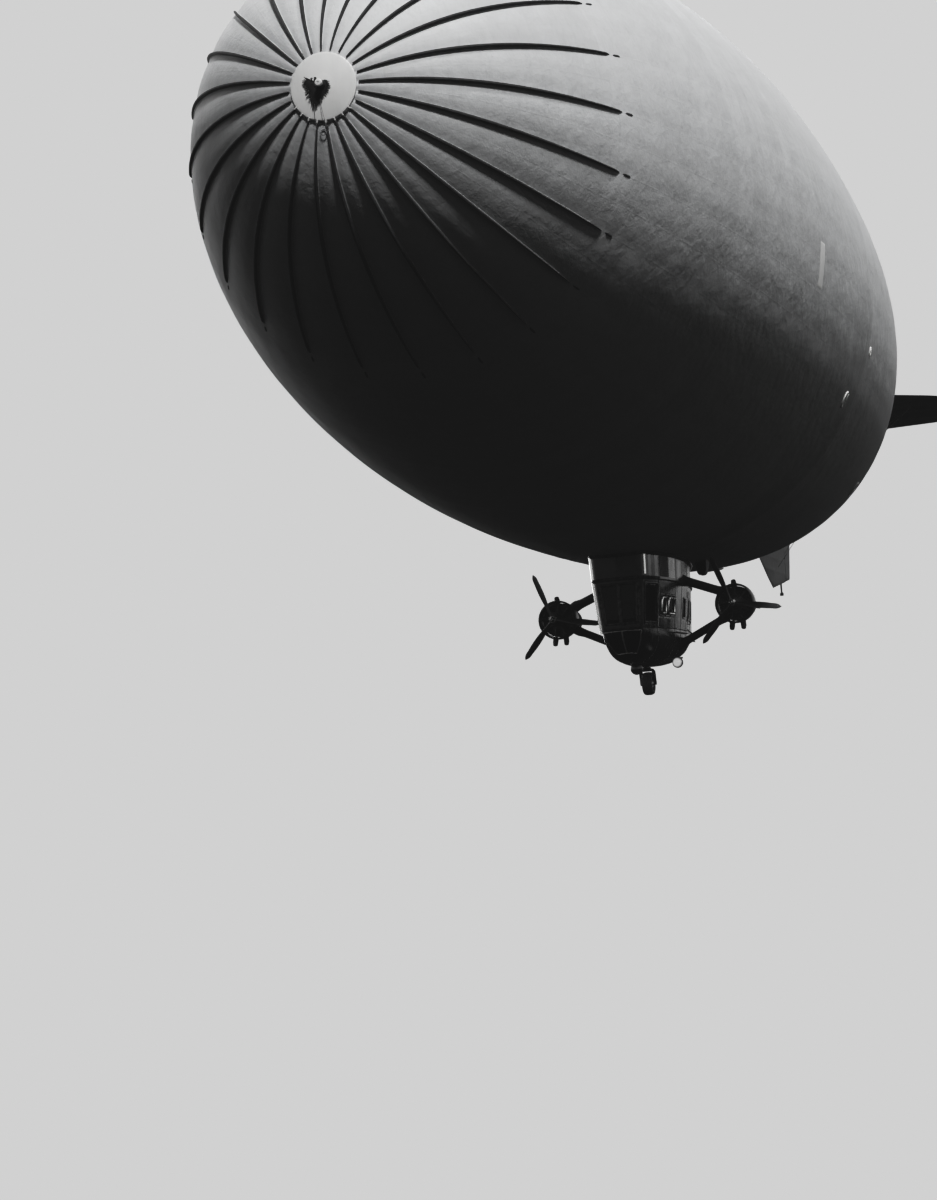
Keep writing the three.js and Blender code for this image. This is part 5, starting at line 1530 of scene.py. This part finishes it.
def build_fittings():
    """Landing lamp, aerial pod, side light, tail skid and air scoops."""
    lamp, bracket = Form(), Form()
    centre = place(*LAMP)
    lamp.grid(ball(centre, 0.083, 18, 32, "x"))
    # Its glow is painted reflection
    piece("lamp_globe", lamp, "lamp_lit", replaces=["landing_lamp"])
    a = turns(32)
    ring = centre + np.column_stack([0 * a - 0.02, 0.085 * np.cos(a), 0.085 * np.sin(a)])
    bracket.hoop(ring, 0.008, up=(1, 0, 0))
    shell = [[-0.1, 0.01], [-0.085, 0.05], [-0.05, 0.078], [-0.02, 0.087], [-0.018, 0.06]]
    bracket.grid(lathe(shell, 32, centre, "x"))
    arm = place(29.66, np.array([0.55, 0.8, 1.1, 1.4, 1.52]),
                np.array([-12.25, -12.27, -12.26, -12.25, -12.26]))
    bracket.grid(tube(arm, 0.014, 10, up=(1, 0, 0)))
    bracket.grid(tube(place(29.66, 1.33, np.array([-12.24, -12.3, -12.42])), 0.013, 10, up=(1, 0, 0)))
    piece("lamp_bracket", bracket, "dark_steel")

    pod = Form()
    pod.grid(ball(place(*POD), 0.104, 18, 32))
    pod.grid(lathe([[-6.19, 0.05], [-6.17, 0.042], [-6.1, 0.035]], 24, place(POD[0], 0, 0), "z"))
    piece("loop_pod", pod, "dark_paint", replaces=["aerial_pod"])

    light = Form()
    light.grid(ball(place(*LIGHT), 0.037, 14, 20, "y"))
    stalk = place(LIGHT[0], np.array([-1.1, -1.35, -1.58]), LIGHT[2])
    light.grid(tube(stalk, 0.01, 10, up=(1, 0, 0)))
    piece("side_lamp", light, "dark_paint", replaces=["side_light"])

    skid = Form()
    skid.grid(tube(place(SKID_AFT, 0, np.linspace(-7.5, -8.52, 8)), 0.022, 16, up=(1, 0, 0)))
    shoe = [[-4.285, 0.02], [-4.284, 0.042], [-4.27, 0.045], [-4.22, 0.045], [-4.205, 0.03],
            [-4.2, 0.022]]
    skid.grid(lathe(shoe, 28, place(SKID_AFT, 0, 0), "z"))
    piece("skid_post", skid, "dark_steel", replaces=["tail_skid"])

    for name, side in SIDES.items():
        scoop = Form()
        t = np.linspace(0, 1, 18)
        aft = 35.2 + 1.3 * t
        low = -9.2 + 0.7 * (t.clip(0.35, 1) - 0.35) ** 1.5 / 0.65 ** 1.5
        half = 0.2 - 0.06 * t ** 2
        angle = np.linspace(0, np.pi, 25)
        c, s = np.cos(angle), np.sin(angle)
        outline = np.sign(c) * np.abs(c) ** 0.6
        deep = np.abs(s) ** 0.6
        top = -8.45
        shell = []
        for shrink in (0.0, 0.035):
            y = side * 1.48 + (half - shrink)[:, None] * outline
            z = top + (low[:, None] + shrink - top) * deep
            shell.append(place(np.broadcast_to(aft[:, None], y.shape), y, z))
        loop = np.concatenate([shell[0], shell[1][:, ::-1]], axis=1)
        scoop.grid(loop[:-1])
        piece("air_scoop_shell_" + name, scoop, "black",
              replaces=["air_scoop_" + name])


def build_flight_deck():
    """Seats with padded cushions, an instrument board with plain dials, and two control wheels."""
    for name, side in SIDES.items():
        pad = Form()
        seat = place(CAR_BOW + 3.0, side * 0.44, -10.97)
        back = place(CAR_BOW + 3.2, side * 0.44, -10.6)
        pad.grid(slab(seat, (0.125, 0.115, 0.035), power=3.2, rows=16, columns=40))
        pad.grid(slab(back, (0.03, 0.115, 0.17), power=3.2, rows=16, columns=40))
        made = piece("seat_pads_" + name, pad, "seat_leather", replaces=["seat_" + name])
        legs = Form()
        for aft, out in ((2.8, 0.26), (2.8, 0.62), (3.22, 0.26), (3.22, 0.62)):
            leg = place(CAR_BOW + aft, side * out, np.array([-11.36, -11.2, -11.02]))
            legs.grid(tube(leg, 0.011, 8, up=(1, 0, 0)))
        legs.grid(slab(place(CAR_BOW + 3.0, side * 0.44, -11.05), (0.12, 0.11, 0.008), power=6))
        piece("seat_frame_" + name, legs, "dark_steel")
    board, dials = Form(), Form()
    board.grid(slab(place(CAR_BOW + 2.0, 0, -11.06), (0.072, 0.372, 0.15), power=9, rows=14, columns=40))
    piece("instrument_board", board, "console_paint", replaces=["console"])
    for out in (-0.56, -0.34, -0.12, 0.12, 0.34, 0.56):
        face = place(CAR_BOW + 2.15, out, -10.9)
        bezel = [[0.0, 0.045], [-0.012, 0.045], [-0.012, 0.038], [-0.006, 0.036], [-0.006, 0.003]]
        dials.grid(lathe(bezel, 28, face, "x"))
    wheel = turns(28)
    for side in (-1, 1):
        hub = place(CAR_BOW + 2.4, side * 0.44, -10.85)
        ring = hub + np.column_stack([0 * wheel, 0.075 * np.cos(wheel), 0.075 * np.sin(wheel)])
        dials.hoop(ring, 0.007, up=(1, 0, 0))
        for a in (0.5, 2.6, 4.7):
            spoke = np.linspace(hub, hub + [0, 0.072 * math.cos(a), 0.072 * math.sin(a)], 3)
            dials.grid(tube(spoke, 0.005, 6, up=(1, 0, 0)))
        dials.grid(tube(np.linspace(hub, place(CAR_BOW + 2.1, side * 0.44, -10.95), 3), 0.01, 8))
    piece("dials_and_wheels", dials, "hub_metal")


def dress_kept_nodes():
    """Finishes for the CAD nodes that stay in view."""
    for slot, node in (("floor_board", "car_floor"), ("car_paint", "car_roof")):
        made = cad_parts[node]
        made.data.materials.clear()
        made.data.materials.append(LOOKS[slot])


# Stage


def build_stage(stage):
    """Floor, lights and camera."""
    level, reach = stage.floor_level, 900.0
    floor = bpy.data.meshes.new("floor")
    floor.from_pydata([(-reach, -reach, level), (reach, -reach, level), (reach, reach, level),
                       (-reach, reach, level)], [], [(0, 1, 2, 3)])
    ground = bpy.data.objects.new("floor", floor)
    bpy.context.scene.collection.objects.link(ground)
    material, t, shader, _ = new_material("pale floor")
    seen = t.node("ShaderNodeLightPath").outputs["Is Camera Ray"]
    glow = t.mix(seen, grey(stage.ground_light), grey(stage.floor_tone))
    t.feed(shader, {"Emission Color": glow, "Emission Strength": 1.0, "Base Color": grey(0.0),
                    "Roughness": 1.0, "Specular IOR Level": 0.0})
    floor.materials.append(material)

    world = bpy.data.worlds.new("studio")
    bpy.context.scene.world = world
    world.use_nodes = True
    w = Tree(world.node_tree)
    world.node_tree.nodes.clear()
    rays = w.node("ShaderNodeLightPath").outputs
    up = w.node("ShaderNodeSeparateXYZ", {0: w.node("ShaderNodeTexCoord").outputs["Generated"]}).outputs["Z"]
    sky = w.spread(up, stage.sky_start, stage.sky_start + 0.35)
    soft = w.mix(sky, grey(stage.ground_light), grey(stage.sky_light))
    # The backdrop is bright to the camera, in reflections and through glass, and dim as a light
    seen = w.math("MAXIMUM", rays["Is Camera Ray"], rays["Is Glossy Ray"])
    seen = w.math("MAXIMUM", seen, rays["Is Transmission Ray"])
    seen = w.times(seen, w.math("LESS_THAN", rays["Diffuse Depth"], 0.5))
    colour = w.mix(seen, soft, grey(stage.backdrop))
    shader = w.node("ShaderNodeBackground", {"Color": colour, "Strength": 1.0})
    w.node("ShaderNodeOutputWorld", {"Surface": shader.outputs[0]})

    for name, energy, spread, source in (
            ("key", stage.key_light, stage.key_spread, stage.key_from),
            ("high key", stage.high_light, stage.key_spread, stage.high_from),
            ("back fill", stage.fill_light, 60.0, stage.fill_from)):
        light = bpy.data.lights.new(name, "SUN")
        light.energy = energy
        light.angle = math.radians(spread)
        lamp = bpy.data.objects.new(name, light)
        bpy.context.scene.collection.objects.link(lamp)
        lamp.rotation_euler = Vector(source).to_track_quat("Z", "Y").to_euler()

    # The photograph's camera, found by fitting the hull's outline, battens and engines
    lens = bpy.data.cameras.new("camera")
    lens.sensor_width = 36.0
    lens.lens = lens.sensor_width * FOCAL_PIXELS / PICTURE_PIXELS
    lens.clip_start, lens.clip_end = 0.02, 3000.0
    camera = bpy.data.objects.new("camera", lens)
    bpy.context.scene.collection.objects.link(camera)
    yaw, pitch, roll = (math.radians(a) for a in CAMERA_TURN)
    ahead = Vector((-math.cos(pitch) * math.cos(yaw), -math.cos(pitch) * math.sin(yaw), math.sin(pitch)))
    right = Vector((-math.sin(yaw), math.cos(yaw), 0.0))
    above = Vector((math.sin(pitch) * math.cos(yaw), math.sin(pitch) * math.sin(yaw), math.cos(pitch)))
    across = right * math.cos(roll) + above * math.sin(roll)
    upward = above * math.cos(roll) - right * math.sin(roll)
    turn = Matrix((across, upward, -ahead)).transposed().to_4x4()
    camera.matrix_world = Matrix.Translation(Vector(place(*CAMERA_PLACE).tolist())) @ turn
    bpy.context.scene.camera = camera
    view = bpy.context.scene.view_settings
    view.view_transform = "Standard"
    view.look = "None"
    # The print's blacks are a dark grey: a small veil of light over the whole picture
    view.use_curve_mapping = True
    view.curve_mapping.black_level = (-stage.veil,) * 3
    # The print is a little harder than the eye's view: darker shades, paler lights
    for light, print_tone in PRINT_TONES:
        view.curve_mapping.curves[3].points.new(light, print_tone)
    view.curve_mapping.update()


# Add-on


class AirshipHullSizes(bpy.types.PropertyGroup):
    """Relief of the hull's fabric and nose fittings, in real metres."""

    nose_lobes: bpy.props.FloatProperty(name="Nose lobes", description="Bulge between two battens",
                                        default=0.03, unit="LENGTH")
    gore_lobes: bpy.props.FloatProperty(name="Gore lobes", description="Bulge between two gore seams",
                                        default=0.006, unit="LENGTH")
    cap_height: bpy.props.FloatProperty(name="Cap height", description="How far the cap's rim stands off",
                                        default=0.055, unit="LENGTH")
    batten_swell: bpy.props.FloatProperty(name="Batten swell", description="Half width gained at mid length",
                                          default=0.026, unit="LENGTH")


class AirshipTailSizes(bpy.types.PropertyGroup):
    """Relief of the tail surfaces."""

    rib_spacing: bpy.props.FloatProperty(name="Rib spacing", description="Distance between two ribs",
                                         default=0.62, unit="LENGTH")
    rib_height: bpy.props.FloatProperty(name="Rib height", description="How far a rib lifts the fabric",
                                        default=0.014, unit="LENGTH")
    stay_radius: bpy.props.FloatProperty(name="Stay radius", description="Radius of the tail's stays",
                                         default=0.006, unit="LENGTH")


class AirshipCarSizes(bpy.types.PropertyGroup):
    """Thicknesses and trim of the control car."""

    wall: bpy.props.FloatProperty(name="Wall", description="Thickness of the car's wall",
                                  default=0.05, unit="LENGTH")
    frame_width: bpy.props.FloatProperty(name="Frame width", description="Half width of window frames",
                                         default=0.035, unit="LENGTH")
    hood_reach: bpy.props.FloatProperty(name="Hood reach", description="Depth of the windscreen's hood",
                                        default=0.1, unit="LENGTH")


class AirshipColours(bpy.types.PropertyGroup):
    """Base colours of the main finishes."""

    hull: bpy.props.FloatVectorProperty(name="Hull", description="Silver dope", subtype="COLOR",
                                        default=(0.52, 0.525, 0.53))
    cap: bpy.props.FloatVectorProperty(name="Cap", description="Pale nose cap", subtype="COLOR",
                                       default=(0.62, 0.62, 0.615))
    batten: bpy.props.FloatVectorProperty(name="Battens", description="Dark nose fan", subtype="COLOR",
                                          default=(0.02, 0.02, 0.021))
    tail: bpy.props.FloatVectorProperty(name="Tail", description="Weathered fin fabric", subtype="COLOR",
                                        default=(0.33, 0.335, 0.34))
    car: bpy.props.FloatVectorProperty(name="Car", description="Grey car paint", subtype="COLOR",
                                       default=(0.017, 0.0175, 0.018))
    cowl: bpy.props.FloatVectorProperty(name="Cowls", description="Black engine cowls", subtype="COLOR",
                                        default=(0.014, 0.014, 0.015))


class AirshipStage(bpy.types.PropertyGroup):
    """Floor, lights and backdrop."""

    floor_level: bpy.props.FloatProperty(name="Floor", description="Height of the floor",
                                         default=-7.26, unit="LENGTH")
    floor_tone: bpy.props.FloatProperty(name="Floor tone", description="Grey of the floor", default=0.585)
    backdrop: bpy.props.FloatProperty(name="Backdrop", description="Brightness behind the ship",
                                      default=0.585)
    veil: bpy.props.FloatProperty(name="Veil", description="Light that veils the picture's blacks",
                                  default=0.0075)
    sky_light: bpy.props.FloatProperty(name="Sky light", description="Soft light from above",
                                       default=0.047)
    ground_light: bpy.props.FloatProperty(name="Ground light", description="Soft light from below",
                                          default=0.005)
    sky_start: bpy.props.FloatProperty(name="Sky start", description="Height where the sky brightens",
                                       default=-0.1)
    key_light: bpy.props.FloatProperty(name="Key light", description="Strength of the key", default=3.0)
    key_spread: bpy.props.FloatProperty(name="Key spread", description="Softness of the key, in degrees",
                                        default=8.0)
    key_from: bpy.props.FloatVectorProperty(name="Key from", description="Direction towards the key",
                                            default=(0.61, 0.315, 0.727))
    high_light: bpy.props.FloatProperty(name="High key", description="Strength of the second key",
                                        default=1.4)
    high_from: bpy.props.FloatVectorProperty(name="High key from", description="Direction towards it",
                                             default=(0.02, 0.47, 0.882))
    fill_light: bpy.props.FloatProperty(name="Back fill", description="Strength of the light from astern",
                                        default=1.3)
    fill_from: bpy.props.FloatVectorProperty(name="Fill from", description="Direction towards the fill",
                                             default=(-0.75, -0.45, 0.45))


class AIRSHIP_OT_looks(bpy.types.Operator):
    """Makes every finish and dresses the frame's own pieces"""

    bl_idname = "airship.looks"
    bl_label = "Finishes"

    def execute(self, context):
        build_looks(context.scene.airship_colours)
        dress_kept_nodes()
        return {"FINISHED"}


class AIRSHIP_OT_envelope(bpy.types.Operator):
    """Makes the fabric hull with its patches and valves"""

    bl_idname = "airship.envelope"
    bl_label = "Envelope"

    def execute(self, context):
        build_envelope(context.scene.airship_hull)
        build_hull_fittings()
        return {"FINISHED"}


class AIRSHIP_OT_nose(bpy.types.Operator):
    """Makes the nose cap, battens, apron and mooring spindle"""

    bl_idname = "airship.nose"
    bl_label = "Nose"

    def execute(self, context):
        build_nose(context.scene.airship_hull)
        return {"FINISHED"}


class AIRSHIP_OT_tail(bpy.types.Operator):
    """Makes the fins, rudders, elevators and stays"""

    bl_idname = "airship.tail"
    bl_label = "Tail"

    def execute(self, context):
        build_tail(context.scene.airship_tail)
        return {"FINISHED"}


class AIRSHIP_OT_car(bpy.types.Operator):
    """Makes the control car, its windows, trim and flight deck"""

    bl_idname = "airship.car"
    bl_label = "Control car"

    def execute(self, context):
        build_car(context.scene.airship_car)
        build_flight_deck()
        return {"FINISHED"}


class AIRSHIP_OT_engines(bpy.types.Operator):
    """Makes both engines with their propellers and outriggers"""

    bl_idname = "airship.engines"
    bl_label = "Engines"

    def execute(self, context):
        for name, side in SIDES.items():
            build_engine(name, side)
            build_propeller(name, side)
        return {"FINISHED"}


class AIRSHIP_OT_gear(bpy.types.Operator):
    """Makes the landing wheel and the small fittings"""

    bl_idname = "airship.gear"
    bl_label = "Wheel and fittings"

    def execute(self, context):
        build_gear()
        build_fittings()
        return {"FINISHED"}


class AIRSHIP_OT_stage(bpy.types.Operator):
    """Makes the floor, lights and camera"""

    bl_idname = "airship.stage"
    bl_label = "Stage"

    def execute(self, context):
        build_stage(context.scene.airship_stage)
        return {"FINISHED"}


STEPS = (AIRSHIP_OT_stage, AIRSHIP_OT_looks, AIRSHIP_OT_envelope, AIRSHIP_OT_nose, AIRSHIP_OT_tail,
         AIRSHIP_OT_car, AIRSHIP_OT_engines, AIRSHIP_OT_gear)
GROUPS = {"airship_hull": AirshipHullSizes, "airship_tail": AirshipTailSizes,
          "airship_car": AirshipCarSizes, "airship_colours": AirshipColours,
          "airship_stage": AirshipStage}


class AIRSHIP_PT_panel(bpy.types.Panel):
    """Lists the steps and their sizes."""

    bl_label = "Airship"
    bl_idname = "AIRSHIP_PT_panel"
    bl_space_type = "VIEW_3D"
    bl_region_type = "UI"
    bl_category = "Airship"

    def draw(self, context):
        for step in STEPS:
            self.layout.operator(step.bl_idname)
        for key, group in GROUPS.items():
            box = self.layout.box()
            for prop in group.__annotations__:
                box.prop(getattr(context.scene, key), prop)


def register():
    for cls in (*GROUPS.values(), *STEPS, AIRSHIP_PT_panel):
        bpy.utils.register_class(cls)
    for key, group in GROUPS.items():
        setattr(bpy.types.Scene, key, bpy.props.PointerProperty(type=group))


def unregister():
    for key in GROUPS:
        delattr(bpy.types.Scene, key)
    for cls in reversed((*GROUPS.values(), *STEPS, AIRSHIP_PT_panel)):
        bpy.utils.unregister_class(cls)


def main():
    register()
    for step in STEPS:
        group, name = step.bl_idname.split(".")
        getattr(getattr(bpy.ops, group), name)()


if __name__ == "__main__":
    main()
